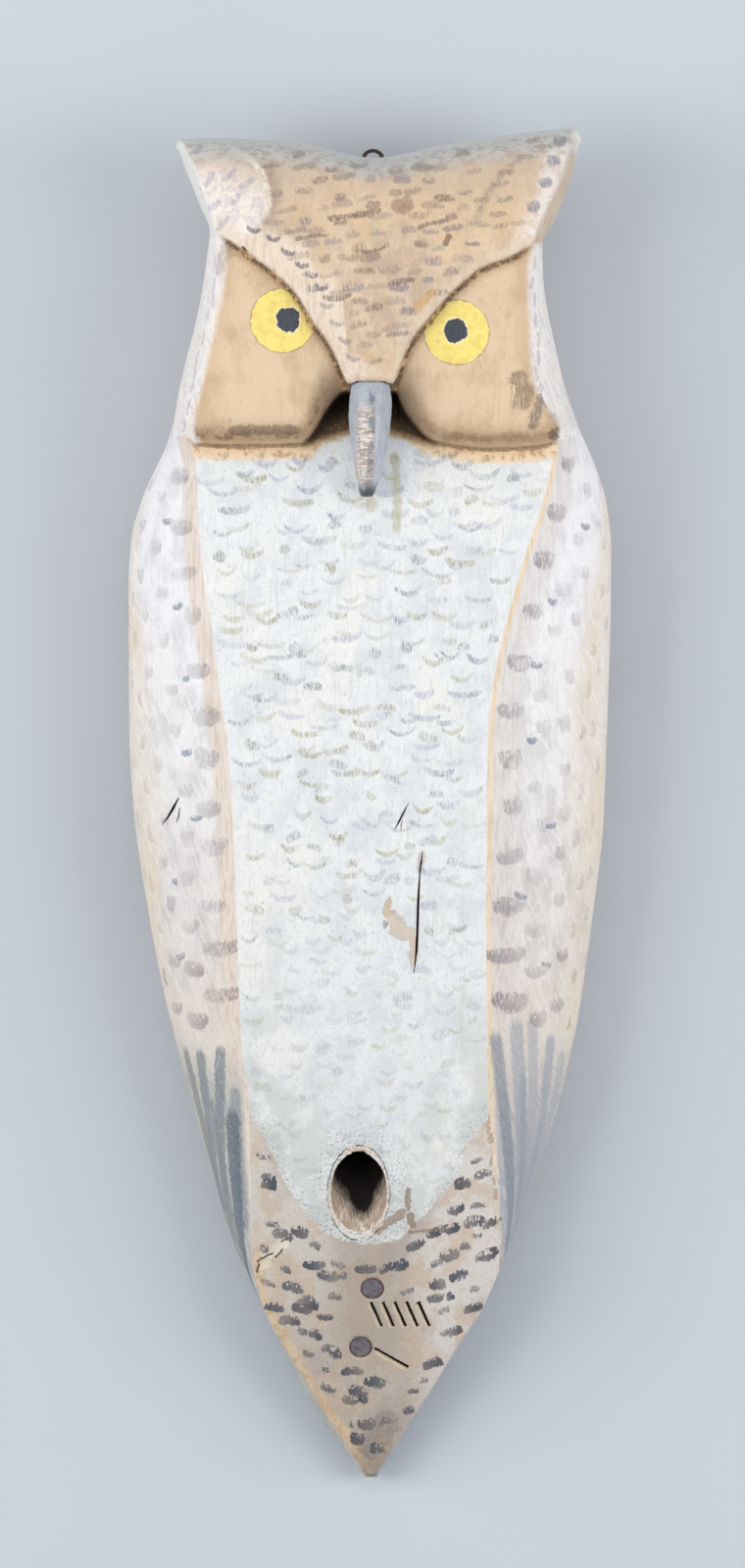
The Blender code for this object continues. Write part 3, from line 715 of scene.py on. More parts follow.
    # Tail: tan over wood, darker and greyer towards the tip, yellowish along its left edge.
    tailEdge = panelGap + ragged * 1.2
    tail = inner * front * step(tailEdge, 0.4, -0.4)
    tailTone = blend((214, 206, 197), (182, 169, 155), step(height + wobble * 8, 128.0, 12.0))
    tailTone = blend(tailTone, (222, 216, 210), rightSide * step(side + wobble * 6, 14.0, 34.0) * 0.85)
    tailTone = blend(tailTone, (202, 176, 150), step(cloudy, 0.46, 0.62) * 0.55)
    tailTone = blend(tailTone, (204, 190, 190), step(sweep * 0.5 + slow * 0.5, 0.50, 0.60) * 0.5)
    tailTone = blend(tailTone, (222, 212, 200), step(grain, 0.55, 0.68) * 0.4)
    middle = step(abs(side + 1.0) + wobble * 6, 26.0, 4.0)
    tailTone = blend(tailTone, (160, 142, 124), middle * step(height, 40.0, 70.0) * 0.5)
    tailTone = blend(tailTone, (162, 152, 146), step(slow, 0.52, 0.62) * 0.35)
    tailTone = blend(tailTone, (136, 122, 110), step(specks, 0.56, 0.66) * 0.35)
    yellowed = leftSide * step(ridgeGap + wobble * 3 + (cloudy - 0.5) * 9, 6.5, 1.5) * step(height, 116, 98)
    tailTone = blend(tailTone, blend((224, 198, 160), (202, 170, 132), step(sweep, 0.48, 0.6)),
                            yellowed * 0.75)
    tailTone = blend(tailTone, (112, 104, 100), step(height + wobble * 6, 20.0, 6.0) * 0.4)
    colour = blend(colour, tailTone, tail)

    # The white panel, brushed up and down, cooler in places, with flecks of grey and olive.
    panel = inner * front * step(tailEdge, -0.4, 0.4) * step(footGap, 0.0, -0.6)
    white = blend((234, 236, 237), (222, 226, 230), step(cloudy, 0.44, 0.62))
    white = blend(white, (242, 241, 234), step(slow, 0.50, 0.66) * 0.6)
    white = blend(white, (200, 204, 208), step(fine, 0.52, 0.66) * 0.55)
    white = blend(white, (212, 212, 206), step(grain, 0.54, 0.68) * 0.55)
    fleckBed = step(sweep, 0.44, 0.60)
    white = blend(white, (128, 130, 134), step(specks, 0.60, 0.68) * fleckBed * 0.60)
    white = blend(white, (164, 156, 122), step(specks, 0.39, 0.31) * fleckBed * 0.60)
    nearFoot = step(panelGap, 60.0, 4.0)
    white = blend(white, (208, 212, 208), nearFoot * step(cloudy, 0.36, 0.58) * 0.75)
    white = blend(white, (150, 146, 136), step(panelGap, 9.0, 0.0) * step(specks, 0.50, 0.60) * 0.55)
    colour = blend(colour, white, panel)

    # The face: tan discs, pale cheeks outside them, painted shade above the rounded foot, beside the beak and
    # under the brow, and the tan paint that ran below it.
    face = headFront * step(footGap, -0.5, 0.3)
    tan = blend((227, 201, 169), (215, 187, 153), step(cloudy, 0.42, 0.64))
    tan = blend(tan, (206, 176, 144), step(grain, 0.54, 0.74) * 0.40)
    tan = blend(tan, (238, 214, 186), step(fine, 0.52, 0.68) * 0.35)
    tan = blend(tan, (196, 166, 136), step(cloudy * 0.5 + sweep * 0.5, 0.52, 0.64) * 0.35)
    tan = blend(tan, (196, 164, 132), step(ridgeGap + wobble * 2, 12.0, 1.0) * 0.35)
    outward = step(abs(side), 8.0, 26.0)
    # Painted shade: the discs darken towards their rounded foot, less on the right.
    footShade = step(footGap + ragged * 1.6, 9.5, 4.5) * step(footGap + ragged * 0.5, 1.4, 3.6) * outward
    footShade = footShade * (1 - rightSide * 0.45)
    tan = blend(tan, (176, 144, 110), step(footGap + wobble * 3, 15.0, 4.0) * outward * 0.7)
    tan = blend(tan, (106, 80, 60), footShade * (0.25 + 0.50 * step(sweep, 0.42, 0.60)))
    # Painted shade in the hollows either side of the beak.
    shadeBesideBeak = step(abs(side) + wobble * 1.5, 30.0, 14.0) * step(height, 512.0, 488.0)
    tan = blend(tan, (88, 68, 50), shadeBesideBeak * 0.75)
    # Painted shade on the discs under the overhanging brow.
    shadeUnderBrow = step(browGap + ragged, -6.0, -0.6)
    tan = blend(tan, (166, 128, 88), shadeUnderBrow * 0.60)
    cheek = step(ridgeGap + wobble * 1.6 - leftSide * 2.5, 2.5, -1.5)
    cheekTone = blend((248, 244, 242), (210, 205, 212), step(strokesOver, 0.48, 0.62) * 0.55)
    cheekTone = blend(cheekTone, (234, 218, 200), step(grain, 0.50, 0.62) * 0.55)
    cheekTone = blend(cheekTone, (236, 226, 212), step(ridgeGap + wobble * 4, -8.0, -22.0) * 0.6)
    cheekTone = blend(cheekTone, (150, 142, 150), step(specks, 0.56, 0.66) * step(cloudy, 0.45, 0.6) * 0.6)
    tan = blend(tan, cheekTone, cheek * 0.92)
    colour = blend(colour, tan, face)
    spill = step(footGap + ragged * 1.2, -7.5, -4.5) * step(footGap, 0.6, -0.2) * front
    spill = spill * step(abs(side), 15.0, 20.0) * step(ridgeGap, -3.0, 1.0)
    spillTone = blend((238, 210, 174), (196, 162, 122), step(sweep, 0.50, 0.62))
    colour = blend(colour, spillTone, spill * 0.94)
    # Painted shade in the hollow where the disc's foot steps down beside the beak, darkest at the top, with
    # ochre chips.
    aboveHollow = height + ragged * 1.6 + abs(side) * 0.30 - 474.0
    hollow = step(footGap, 0.6, -0.2) * front * step(aboveHollow, -1.5, 1.5)
    hollow = hollow * step(abs(side) + wobble, 33.0, 27.0)
    hollowShadeTone = blend((204, 174, 134), (96, 74, 52), step(aboveHollow, 0.0, 4.5))
    hollowShadeTone = blend(hollowShadeTone, (46, 32, 20), step(aboveHollow + wobble * 4, 4.0, 14.0))
    hollowShadeTone = blend(hollowShadeTone, (182, 152, 116), step(specks * 0.5 + grain * 0.5, 0.54, 0.64) * 0.5)
    colour = blend(colour, hollowShadeTone, hollow)

    # The crown: tan, cream along the brow, pale ears with a painted line, worn grey paint with a painted
    # sheen at the top, and a painted highlight along the top rim and the left edge.
    beyond = step(ridgeGap, -0.5, -5.0)
    crownGap = browGap + beyond * ((sweep - 0.5) * 16 + wobble * 5 + (slow - 0.5) * 20)
    crown = headFront * step(crownGap, -0.3 - beyond * 3, 0.3 + beyond * 3)
    tawny = blend((224, 200, 171), (204, 178, 148), step(cloudy, 0.40, 0.62))
    tawny = blend(tawny, (190, 170, 164), step(sweep, 0.48, 0.62) * 0.45)
    tawny = blend(tawny, (238, 206, 166), step(slow + sweep * 0.4, 0.62, 0.80) * 0.5)
    tawny = blend(tawny, (196, 184, 176), step(strokesOver, 0.54, 0.64) * 0.35)
    tawny = blend(tawny, (198, 180, 162), step(height + wobble * 5, 566.0, 600.0) * 0.7)
    tawny = blend(tawny, (184, 160, 136), step(fine, 0.50, 0.66) * 0.35)
    cream = blend((238, 221, 202), (218, 197, 178), step(grain, 0.45, 0.65))
    bandReach = 14.0 * leftSide + 5.5 * rightSide
    browBand = step(browGap + (cloudy - 0.5) * 14 + wobble * 1.6, bandReach + 3.0, bandReach - 3.0)
    browBand = browBand * (0.92 * leftSide + 0.4 * rightSide)
    tawny = blend(tawny, cream, browBand)

    def away(atSide, atHeight):
        return ((side - atSide) ** 2.0 + (height - atHeight) ** 2.0) ** 0.5

    # The left ear is pinkish with a cream crescent and a grey shadow beside it.
    leftEar = away(-71.0, 577.0) + ragged * 0.5
    inEar = step(leftEar + wobble * 1.5, 27.0, 22.0) * step(browGap + wobble * 2, 2.0, 9.0)
    earTone = blend((247, 237, 227), (222, 211, 213), step(sweep, 0.46, 0.58) * 0.8)
    earTone = blend(earTone, (206, 184, 162), step(height + side * 0.35 + wobble * 6, 556.0, 576.0) * 0.8)
    earTone = blend(earTone, (196, 180, 172), step(specks, 0.55, 0.66) * 0.5)
    shade = step(leftEar, 34.0, 27.0) * step(side, -66.0, -56.0) * step(browGap, 8.0, 16.0)
    tawny = blend(tawny, (156, 138, 126), shade * (0.45 + 0.4 * step(sweep, 0.45, 0.6)))
    tawny = blend(tawny, earTone, inEar * 0.95)
    earLine = step(abs(leftEar - 25.2 + wobble * 0.6), 2.3, 0.7) * step(height + wobble * 3, 564.0, 575.0)
    earLine = earLine * step(side, -86.0, -78.0) * (0.35 + 0.65 * step(sweep, 0.36, 0.52))
    tawny = blend(tawny, blend((246, 236, 218), (226, 212, 196), step(specks, 0.5, 0.6)),
                         earLine * 0.9)
    # The right ear is paler towards its corner, behind a grey arc.
    rightEar = away(98.0, 553.0) + ragged * 1.0
    paleEar = step(rightEar, 38.0, 24.0) * step(browGap, 0.0, 5.0)
    paleEdge = step(ridgeGap + wobble * 3 + (sweep - 0.5) * 10, 13.0, 5.0) * rightSide
    paleEdge = paleEdge * step(side, 64.0, 78.0)
    paleEar = paleEar.most(paleEdge * step(browGap, 4.0, 12.0) * 0.85)
    tawny = blend(tawny, blend((242, 236, 234), (222, 208, 198), step(sweep, 0.48, 0.60)),
                         paleEar * 0.85)
    earArc = step(abs(rightEar - 52.5 + wobble), 2.8, 0.4) * step(height, 560.0, 572.0)
    earArc = earArc * step(side, 94.0, 88.0)
    tawny = blend(tawny, (150, 134, 126), earArc * (0.15 + 0.55 * step(specks, 0.46, 0.56)))
    earEdge = step(ridgeGap + wobble * 0.6, 1.2, -0.8) * rightSide
    edgeTan = blend((208, 184, 158), (176, 150, 124), step(grain, 0.42, 0.62))
    edgeTan = blend(edgeTan, (226, 214, 200), step(sweep * 0.5 + cloudy * 0.5, 0.50, 0.62) * 0.7)
    tawny = blend(tawny, edgeTan, earEdge.most(beyond) * 0.75)
    # Worn grey paint at the top, lighter there also as painted sheen where the crown rounds over.
    wearAndSheen = step(topGap + ragged * 3.0 + (sweep - 0.5) * 9, 15.5, 4.5)
    tawny = blend(tawny, blend((228, 227, 222), (204, 198, 190), step(sweep, 0.48, 0.6)),
                         wearAndSheen * 0.85)
    # Painted highlight along the top rim and the left edge of the head.
    rim = step(topGap + ragged * 1.2, 4.5, 1.0).most(step(ridgeGap + ragged * 0.8, 3.0, 0.6) * leftSide)
    tawny = blend(tawny, (236, 236, 232), rim * 0.75)
    colour = blend(colour, tawny, crown)

    colour, scars = brushed(colour, "under", "over", "scar")

    # Round the pole socket the paint is flaked off in a ring, cracked and dirty.
    acrossMouth = (side - cuts["socketAt"][0]) / cuts["socketMouth"][0]
    upMouth = (height - cuts["socketAt"][1]) / cuts["socketMouth"][1]
    toMouth = (acrossMouth ** 2.0 + upMouth ** 2.0) ** 0.5
    toMouth = toMouth + ragged * 0.035
    dirty = panel * step(toMouth + (cloudy - 0.5) * 1.2, 2.3, 1.1)
    colour = blend(colour, (118, 120, 118), dirty * step(specks, 0.54, 0.62) * 0.7)
    colour = blend(colour, (150, 142, 108), dirty * step(specks, 0.42, 0.34) * 0.6)
    flaked = step(toMouth + (sweep - 0.5) * 0.6, 1.10, 1.03) * front
    flaked = flaked * (0.35 + 0.65 * step(cloudy, 0.42, 0.54))
    flakeTone = blend((236, 226, 214), (196, 172, 150), step(specks, 0.46, 0.58))
    colour = blend(colour, flakeTone, flaked * step(toMouth, 0.90, 0.94) * 0.9)
    crackRing = step(abs(toMouth + (sweep - 0.5) * 0.10 - 1.09), 0.030, 0.008) * step(sweep, 0.42, 0.50)
    colour = blend(colour, (72, 60, 50), crackRing * front * 0.85)

    # Painted eyes: an uneven iris with a thin outline, a cream ring and a ragged pupil.
    def eye(under, at, irisRadius, pupilAt, pupilRadius):
        toIris = away(*at) + ragged * 0.2 + (sweep - 0.5) * 1.6
        toPupil = away(*pupilAt) + ragged * 0.35 + (sweep - 0.5) * 4.5
        onFace = face * step(browGap, -0.2, -0.8)
        outline = step(toIris, irisRadius + 0.8, irisRadius + 0.2) * onFace
        drawn = blend(under, (164, 150, 112), outline * (0.35 + 0.6 * step(sweep, 0.44, 0.56)))
        yellow = blend((250, 229, 132), (242, 214, 118), step(sweep, 0.46, 0.62))
        # The iris is darker under the brow: painted shade.
        yellow = blend(yellow, (212, 186, 120), step(browGap + ragged, -6.0, -1.0) * 0.6)
        drawn = blend(drawn, yellow, step(toIris, irisRadius + 0.1, irisRadius - 0.3) * onFace)
        ring = step(toPupil, pupilRadius + 0.85, pupilRadius + 0.45) * onFace
        drawn = blend(drawn, (246, 236, 190), ring * 0.9)
        pupil = blend((66, 71, 80), (88, 92, 100), step(fine, 0.5, 0.7))
        return blend(drawn, pupil, step(toPupil, pupilRadius + 0.2, pupilRadius - 0.2) * onFace)

    colour = eye(colour, (-39.2, 522.7), 14.2, (-36.5, 523.0), 5.5)
    colour = eye(colour, (38.8, 517.4), 14.4, (38.4, 518.4), 5.3)

    # Painted shade with chips of bare wood in the carved steps, and dirt all over.
    # Painted shade in the cut under the brow, with light chips of bare wood.
    browCutShade = step(abs(browGap + 0.8 + ragged * 0.7), 1.9 + 0.7 * ragged, 0.4) * headFront
    browCutShade = browCutShade * step(abs(side), 8.0, 12.0)
    browCutShade = browCutShade * step(ridgeGap, 0.0, 6.0)
    cutShadeAndChipTone = blend((96, 70, 48), (222, 184, 134), step(sweep * 0.6 + cloudy * 0.4, 0.53, 0.60))
    colour = blend(colour, cutShadeAndChipTone, browCutShade * (0.35 + 0.6 * step(specks, 0.42, 0.54)))
    # Painted shade in the crease at the foot of the discs.
    footCutShade = step(abs(footGap + ragged * 0.8), 1.3, 0.3) * headFront * step(ridgeGap, -2.0, 3.0)
    colour = blend(colour, (112, 84, 58), footCutShade * (0.25 + 0.6 * step(specks, 0.44, 0.56)))
    grime = step(finish.patches((2.2, 3.0, 2.2), 4.0, 0.72, 53), 0.58, 0.72)
    colour = blend(colour, (122, 108, 96), grime * 0.20)

    finish.feed("Base Color", colour)
    finish.feed("Roughness", 0.48 + 0.18 * grain + 0.10 * specks)
    relief = grain * 0.5 + fine * 0.45 + sweep * 0.30 + specks * 0.25 - scars * 0.5
    finish.feed("Normal", finish.bump(relief, 0.45 * mm, 1.0))
    return finish.material


# Bare wood inside the holes, dark where no light and only dirt reach.
def bareWood(name, darkFrom, darkAt, edgeTone):
    finish = Finish(name, 0.8)
    blend, step = finish.blend, finish.step
    finish.shader.inputs["Specular IOR Level"].default_value = 0.2
    deep = finish.attribute("deepness")
    grain = finish.patches((0.9, 16, 0.9), 4.0, 0.62, 5)
    cloud = finish.patches((3, 7, 3), 3.0, 0.6, 9)
    colour = blend(edgeTone, (158, 134, 116), step(grain, 0.42, 0.64))
    colour = blend(colour, (232, 222, 212), step(cloud, 0.54, 0.66) * 0.6)
    x, _, _ = finish.split(finish.at)
    # Painted shade: the wood darkens with depth, sooner along a tongue down the middle of the socket.
    tongue = step(abs(x * 1000 + body["middleSide"] - cuts["socketAt"][0] - 1.5), 7.0, 1.0)
    patchy = (grain * 0.5 + cloud * 0.5 - 0.5) * darkAt * 0.9
    holeShade = step(deep * (1 + 0.9 * tongue) + patchy, darkFrom, darkAt)
    colour = blend(colour, (22, 17, 14), holeShade)
    finish.feed("Base Color", colour)
    finish.feed("Roughness", 0.74 + 0.16 * grain)
    finish.feed("Normal", finish.bump(grain * 0.7 + cloud * 0.3, 0.4 * mm, 0.9))
    return finish.material


# The marks of the brush and of wear: where each lies in millimetres, its turn in degrees, its half sizes
# and bend, how toothed, dry and soft it is, its tone, and its strength, tooth size and fading along.
# A wing mark's side is counted along the skin from the centre line.
marks = {"wing": [], "flight": [], "under": [], "over": [], "scar": []}
chance = random.Random(20)


def mark(layer, side, height, turn, halfLength, halfWidth, bend, teeth, dryness, tone, strength, soft=0.5,
         tick=0.0, fade=0.0):
    marks[layer].append((side, height, math.radians(turn), halfLength, halfWidth, bend, teeth, dryness, soft,
                         *sRgb(tone), strength, tick, fade, chance.uniform(0, 1)))


def near(amount):
    return chance.uniform(-amount, amount)


def ridgeBeside(sign, height):
    return float(ridgeAt(np.array(sign), np.array(height)))


# The scallops on the breast: rows of shallow cups in grey, lilac and olive, paler and smaller below.
breastMarks = {
    "rowPitch": 11.6, "columnPitch": 14.5, "halfLength": 6.4, "halfWidth": 1.4, "bend": 3.2,
    "cups": [(150, 160, 176), (164, 168, 192), (168, 160, 124), (172, 168, 140), (150, 158, 162)],
    "smudges": [(140, 146, 152), (150, 152, 176), (150, 142, 106), (132, 134, 130)],
}


def paintBreast():
    for number, height in enumerate(np.arange(461, 128, -breastMarks["rowPitch"] / 2)):
        layer = "under" if number % 2 else "over"
        size = mix(0.66, 1.05, float(ease((height - 170) / 170)))
        start = -92 + (number % 4) * breastMarks["columnPitch"] / 4
        for side in np.arange(start, 92, breastMarks["columnPitch"]):
            atSide, atHeight = side + near(5.5), height + near(4.0)
            inPanel = atHeight - float(line["panelFoot"](atSide)) > 5
            if abs(atSide) > ridgeBeside(atSide, atHeight) - 4 or not inPanel or chance.random() < 0.12:
                continue
            weight = mix(0.55, 1.0, float(ease((height - 180) / 140)))
            if chance.random() < 0.70:
                mark(layer, atSide, atHeight, near(10),
                     breastMarks["halfLength"] * size * chance.uniform(0.6, 1.2),
                     breastMarks["halfWidth"] * chance.uniform(0.6, 1.2),
                     breastMarks["bend"] * chance.uniform(0.4, 1.2), chance.uniform(0.5, 1.0),
                     chance.uniform(0.7, 1.0), chance.choice(breastMarks["cups"]),
                     chance.uniform(0.35, 0.85) * weight, 0.8, 0.0, near(0.5))
            else:
                mark(layer, atSide, atHeight, near(30), 4.2 * chance.uniform(0.6, 1.2),
                     2.0 * chance.uniform(0.6, 1.2), near(1.5), chance.uniform(0.2, 0.8), 1.0,
                     chance.choice(breastMarks["smudges"]), chance.uniform(0.4, 0.8) * weight, 1.2)


# The bars on the wings: broad combs beside the panel, small brown dabs towards the edge and behind.
wingMarks = {
    "pitch": 21.5, "top": 455.0, "bottom": 204.0,
    "columns": [(10.0, 8.6, 4.0, 3, 0.95, 0.0), (26.0, 6.0, 3.4, 5, 0.62, 0.5),
                (39.0, 4.8, 3.4, 12, 0.70, 0.1),
                (50.5, 4.2, 2.0, 78, 0.70, 0.6), (61.0, 4.6, 1.8, 82, 0.60, 0.2),
                (76.0, 4.4, 2.1, 8, 0.45, 0.7),
                (92.0, 4.6, 2.1, 5, 0.40, 0.3), (109.0, 5.0, 2.0, 0, 0.35, 0.8)],
    "combs": [(138, 126, 134), (146, 136, 144), (134, 124, 126)], "low": [(140, 120, 118), (132, 118, 122)],
    "dabs": [(164, 134, 112), (146, 122, 110), (150, 134, 134)], "small": [(118, 130, 152), (124, 134, 148)],
}


def paintWings():
    for sign in (-1, 1):
        for column, (reach, halfLength, halfWidth, turn, strength, shift) in enumerate(wingMarks["columns"]):
            rows = int((wingMarks["top"] - wingMarks["bottom"]) / wingMarks["pitch"]) + 1
            for row in range(rows):
                height = wingMarks["top"] - (shift + row) * wingMarks["pitch"] + near(3.5)
                lower = float(ease((300 - height) / 80))
                weight = strength * (mix(0.6, 1.0, lower) if sign < 0 or column else mix(0.85, 1.0, lower))
                tones = wingMarks["combs"] if column < 3 else wingMarks["dabs"]
                if column < 3 and lower > 0.8 and sign < 0:
                    tones = wingMarks["low"]
                if height > 425 and column > 2:
                    weight *= 0.5
                size = chance.uniform(0.75, 1.15) * (mix(0.8, 1.15, lower) if column < 3 else 1)
                mark("wing", sign * (ridgeBeside(sign, height) + reach + near(2.6)), height,
                     sign * (turn + near(9)), halfLength * size, halfWidth * chance.uniform(0.75, 1.15),
                     1.4 + near(1.2), chance.uniform(0.55, 1.0), chance.uniform(0.15, 0.55),
                     chance.choice(tones), weight * chance.uniform(0.6, 0.95), 1.0, 0.0,
                     -0.4 * sign if column < 2 else near(0.4))
        for height in np.arange(428, 215, -32.0):
            mark("wing", sign * (ridgeBeside(sign, height) + chance.choice((17, 20, 31)) + near(2)),
                 height + near(5), sign * near(14), chance.uniform(2.4, 4.0), 1.5, 1.0, 0.6, 0.3,
                 chance.choice(wingMarks["small"]), 0.8, 0.6)


# The flight feathers: long strokes with round tops that run together towards the tail. Each has the side and
# height of its top and of its foot as seen from the front, its half width and its tone.
flightMarks = [
    ((-67.9, 199.0), (-60.2, 104.0), 2.7, (122, 132, 143)),
    ((-76.6, 197.0), (-66.0, 120.0), 2.4, (134, 141, 150)),
    ((-61.5, 180.0), (-56.6, 112.0), 2.6, (146, 150, 158)),
    ((-62.0, 170.0), (-52.6, 72.0), 3.5, (96, 108, 122)),
    ((-84.2, 198.0), (-68.0, 96.0), 1.7, (142, 144, 140)),
    ((-72.5, 176.0), (-56.0, 70.0), 1.9, (134, 140, 144)),
    ((56.0, 205.5), (61.0, 84.0), 2.8, (126, 136, 148)),
    ((64.8, 211.0), (63.0, 96.0), 3.4, (158, 162, 172)),
    ((73.5, 212.0), (67.0, 100.0), 2.6, (170, 172, 178)),
    ((82.0, 204.0), (70.5, 108.0), 2.3, (158, 164, 176)),
    ((68.6, 186.0), (65.8, 120.0), 1.4, (132, 142, 160)),
    ((87.5, 196.0), (76.0, 116.0), 1.8, (176, 178, 182)),
]


# How far round the skin from the ridge a place on the wing lies, and how much the skin slants away there.
def reachAt(side, height):
    sign = math.copysign(1, side)
    ridge = ridgeBeside(sign, height)
    width = float(outlineAt(np.array(sign), np.array(height))) - ridge
    fall = float(breastSurface(np.array(ridge * sign), np.array(height))) - float(line["sideDepth"](height))

    def along(share):
        return math.hypot(width * share, fall * (0.3 * share + 0.7 * (1 - math.sqrt(1 - share * share))))

    share = min(max((abs(side) - ridge) / width, 0.0), 0.94)
    return ridge + along(share), (along(share + 0.05) - along(share)) / (0.05 * width)


def paintFlight():
    for number, (top, foot, halfWidth, tone) in enumerate(flightMarks):
        sign = math.copysign(1, top[0])
        upperReach, slant = reachAt(*top)
        upper, lower = Vector((upperReach, top[1])), Vector((reachAt(*foot)[0], foot[1]))
        run, middle = lower - upper, (upper + lower) / 2
        mark("wing" if number % 2 else "flight", sign * middle.x, middle.y,
             math.degrees(math.atan2(run.y, sign * run.x)), run.length / 2, halfWidth * (0.4 + 0.6 * slant),
             near(1.0), 0.0, chance.uniform(0.25, 0.5), tone, 0.92 if sign < 0 else 0.78,
             1.1 if sign < 0 else 2.0)
    for height in np.arange(190, 70, -21.0):
        for sign in (-1, 1):
            for reach in (66, 80, 95, 110):
                mark("flight", sign * (ridgeBeside(sign, height) * 0.9 + reach * (0.45 + height / 420)),
                     height + near(6), 90 - sign * (14 + near(5)), 15.0 + near(4), 2.4 + near(0.6),
                     near(1.5), 0.0, 0.7, (146, 151, 156), 0.5, 2.6)


# Short dark combs on the tail, slanting down towards the middle.
tailMarks = {"rowPitch": 6.9, "columnPitch": 11.0, "halfLength": 4.7, "halfWidth": 2.1, "slant": 16.0,
             "tones": [(74, 78, 88), (84, 88, 98), (94, 92, 97)]}


def paintTail():
    for number, height in enumerate(np.arange(160, 12, -tailMarks["rowPitch"])):
        start = -66 + (number % 2) * tailMarks["columnPitch"] / 2
        for side in np.arange(start, 66, tailMarks["columnPitch"]):
            atSide, atHeight = side + near(4.2), height + near(3.4)
            nearNail = min(math.hypot(atSide - at[0], atHeight - at[1])
                           for at in (nails["nail_upper"], nails["nail_lower"]))
            inStrokes = -4 < atSide < 28 and (66 < atHeight < 85 or 47 < atHeight < 60)
            underPanel = float(line["panelFoot"](atSide)) - atHeight
            if abs(atSide) > ridgeBeside(atSide, atHeight) - 4 or underPanel < 3.5 or nearNail < 8.5:
                continue
            if inStrokes or chance.random() < 0.1:
                continue
            big = chance.random() < 0.5
            mark("under" if number % 2 else "over", atSide, atHeight,
                 (1 if atSide > 0 else -1) * tailMarks["slant"] * min(1, abs(atSide) / 18) + near(14),
                 tailMarks["halfLength"] * (chance.uniform(0.8, 1.25) if big else chance.uniform(0.45, 0.9)),
                 tailMarks["halfWidth"] * (chance.uniform(0.9, 1.3) if big else chance.uniform(0.5, 0.9)),
                 near(1.4), chance.uniform(0.45, 0.82) if big else chance.uniform(0.55, 1.0),
                 chance.uniform(0.0, 0.2), chance.choice(tailMarks["tones"]),
                 chance.uniform(0.8, 1.0) if big else chance.uniform(0.6, 0.95), 0.4,
                 1.0 if big else chance.choice((0.0, 1.0)), near(0.35))


# Small combs on the crown, cups along the brow, dabs on the ears and the cheeks.
crownMarks = {"rowPitch": 5.8, "columnPitch": 12.4, "halfLength": 5.0, "halfWidth": 1.7,
              "tones": [(136, 114, 110), (134, 122, 136), (122, 98, 86), (144, 126, 128)]}
crownStreaks = [(-7.0, 569.5, 9, 13.0, 1.2), (2.5, 553.5, 16, 7.0, 1.0), (-14.5, 532.0, 4, 7.0, 1.1),
                (-26.0, 560.0, 8, 8.0, 1.0), (14.0, 540.0, 14, 6.5, 1.1), (28.0, 566.0, 14, 8.0, 1.0)]
browCups = [(-52.2, 562.7), (-43.5, 558.7), (-36.9, 552.5), (-30.5, 546.7), (-26.3, 542.3), (-21.9, 536.6),
            (-19.5, 528.5), (-15.0, 520.5), (-11.4, 513.0), (-8.0, 505.0)]
rightEarDabs = [(84.6, 603.5, 1), (83.3, 594.5, 1), (78.0, 585.0, 1), (72.7, 573.2, 1), (60.5, 590.0, 0),
                (58.5, 583.0, 0), (61.0, 577.0, 0), (57.0, 571.0, 0), (59.0, 564.5, 0), (66.0, 566.0, 0),
                (50.0, 576.0, 0), (70.0, 597.0, 0), (74.0, 603.0, 0), (49.5, 566.0, 0)]
leftEarDabs = [(-77, 600, 50), (-72, 586, 60), (-63, 588, 40), (-60, 577, 60), (-70, 574, 35), (-77, 580, 80),
               (-55, 584, 30), (-66, 566, 50)]


def paintHead():
    for number, height in enumerate(np.arange(498, 600, crownMarks["rowPitch"])):
        start = -66 + (number % 2) * crownMarks["columnPitch"] / 2
        for side in np.arange(start, 68, crownMarks["columnPitch"]):
            atSide, atHeight = side + near(3.2), height + near(2.0)
            aboveBrow = atHeight - float(line["browEdge"](atSide))
            belowTop = float(line["crownTop"](atSide)) - atHeight
            inEar = math.hypot(atSide + 70.0, atHeight - 577.0) < 28 or atSide > 48
            if aboveBrow < (14 if atSide < 0 else 6) or belowTop < 5 or inEar or chance.random() < 0.1:
                continue
            mark("under" if number % 2 else "over", atSide, atHeight, near(9) + 6,
                 crownMarks["halfLength"] * chance.uniform(0.55, 1.25),
                 crownMarks["halfWidth"] * chance.uniform(0.6, 1.25), near(0.9), chance.uniform(0.3, 0.8),
                 chance.uniform(0.4, 0.8), chance.choice(crownMarks["tones"]), chance.uniform(0.45, 0.85),
                 1.3, chance.choice((0.0, 0.6, 1.0)))
    for atSide, atHeight, turn, halfLength, halfWidth in crownStreaks:
        mark("scar", atSide, atHeight, turn, halfLength, halfWidth, near(1.5), 0.8, 0.5, (128, 108, 100),
             0.75, 0.7)
    for atSide, atHeight in browCups:
        weight = 0.9 if atHeight > 534 else 0.5
        mark("over", atSide, atHeight, -14 + near(8), 3.7, 1.2, 1.6, 0.4, 0.30, (118, 106, 120), weight, 0.6)
    for atSide, atHeight, blue in rightEarDabs:
        mark("over" if blue else "under", atSide + near(1), atHeight + near(1), near(14) + 8,
             3.4 if blue else 4.2, 2.3 if blue else 1.3, 0.2, 0.4 if blue else 0.95, 0.45,
             (124, 124, 142) if blue else (144, 122, 112), 0.75 if blue else 0.6, 1.2 if blue else 0.6)
    for atSide, atHeight, turn in leftEarDabs:
        mark("under", atSide, atHeight, turn, 4.0 + near(1.2), 1.5, 0.3, 0.5, 0.6, (164, 156, 176), 0.6, 1.1)
    for sign in (-1, 1):
        for height in np.arange(476, 556, 8.0):
            mark("under", sign * (ridgeBeside(sign, height) + 6 + near(4)), height + near(2), 80 + near(30),
                 4.0, 1.8, 0.5, 0.6, 0.7, (158, 150, 164), 0.6, 1.2)


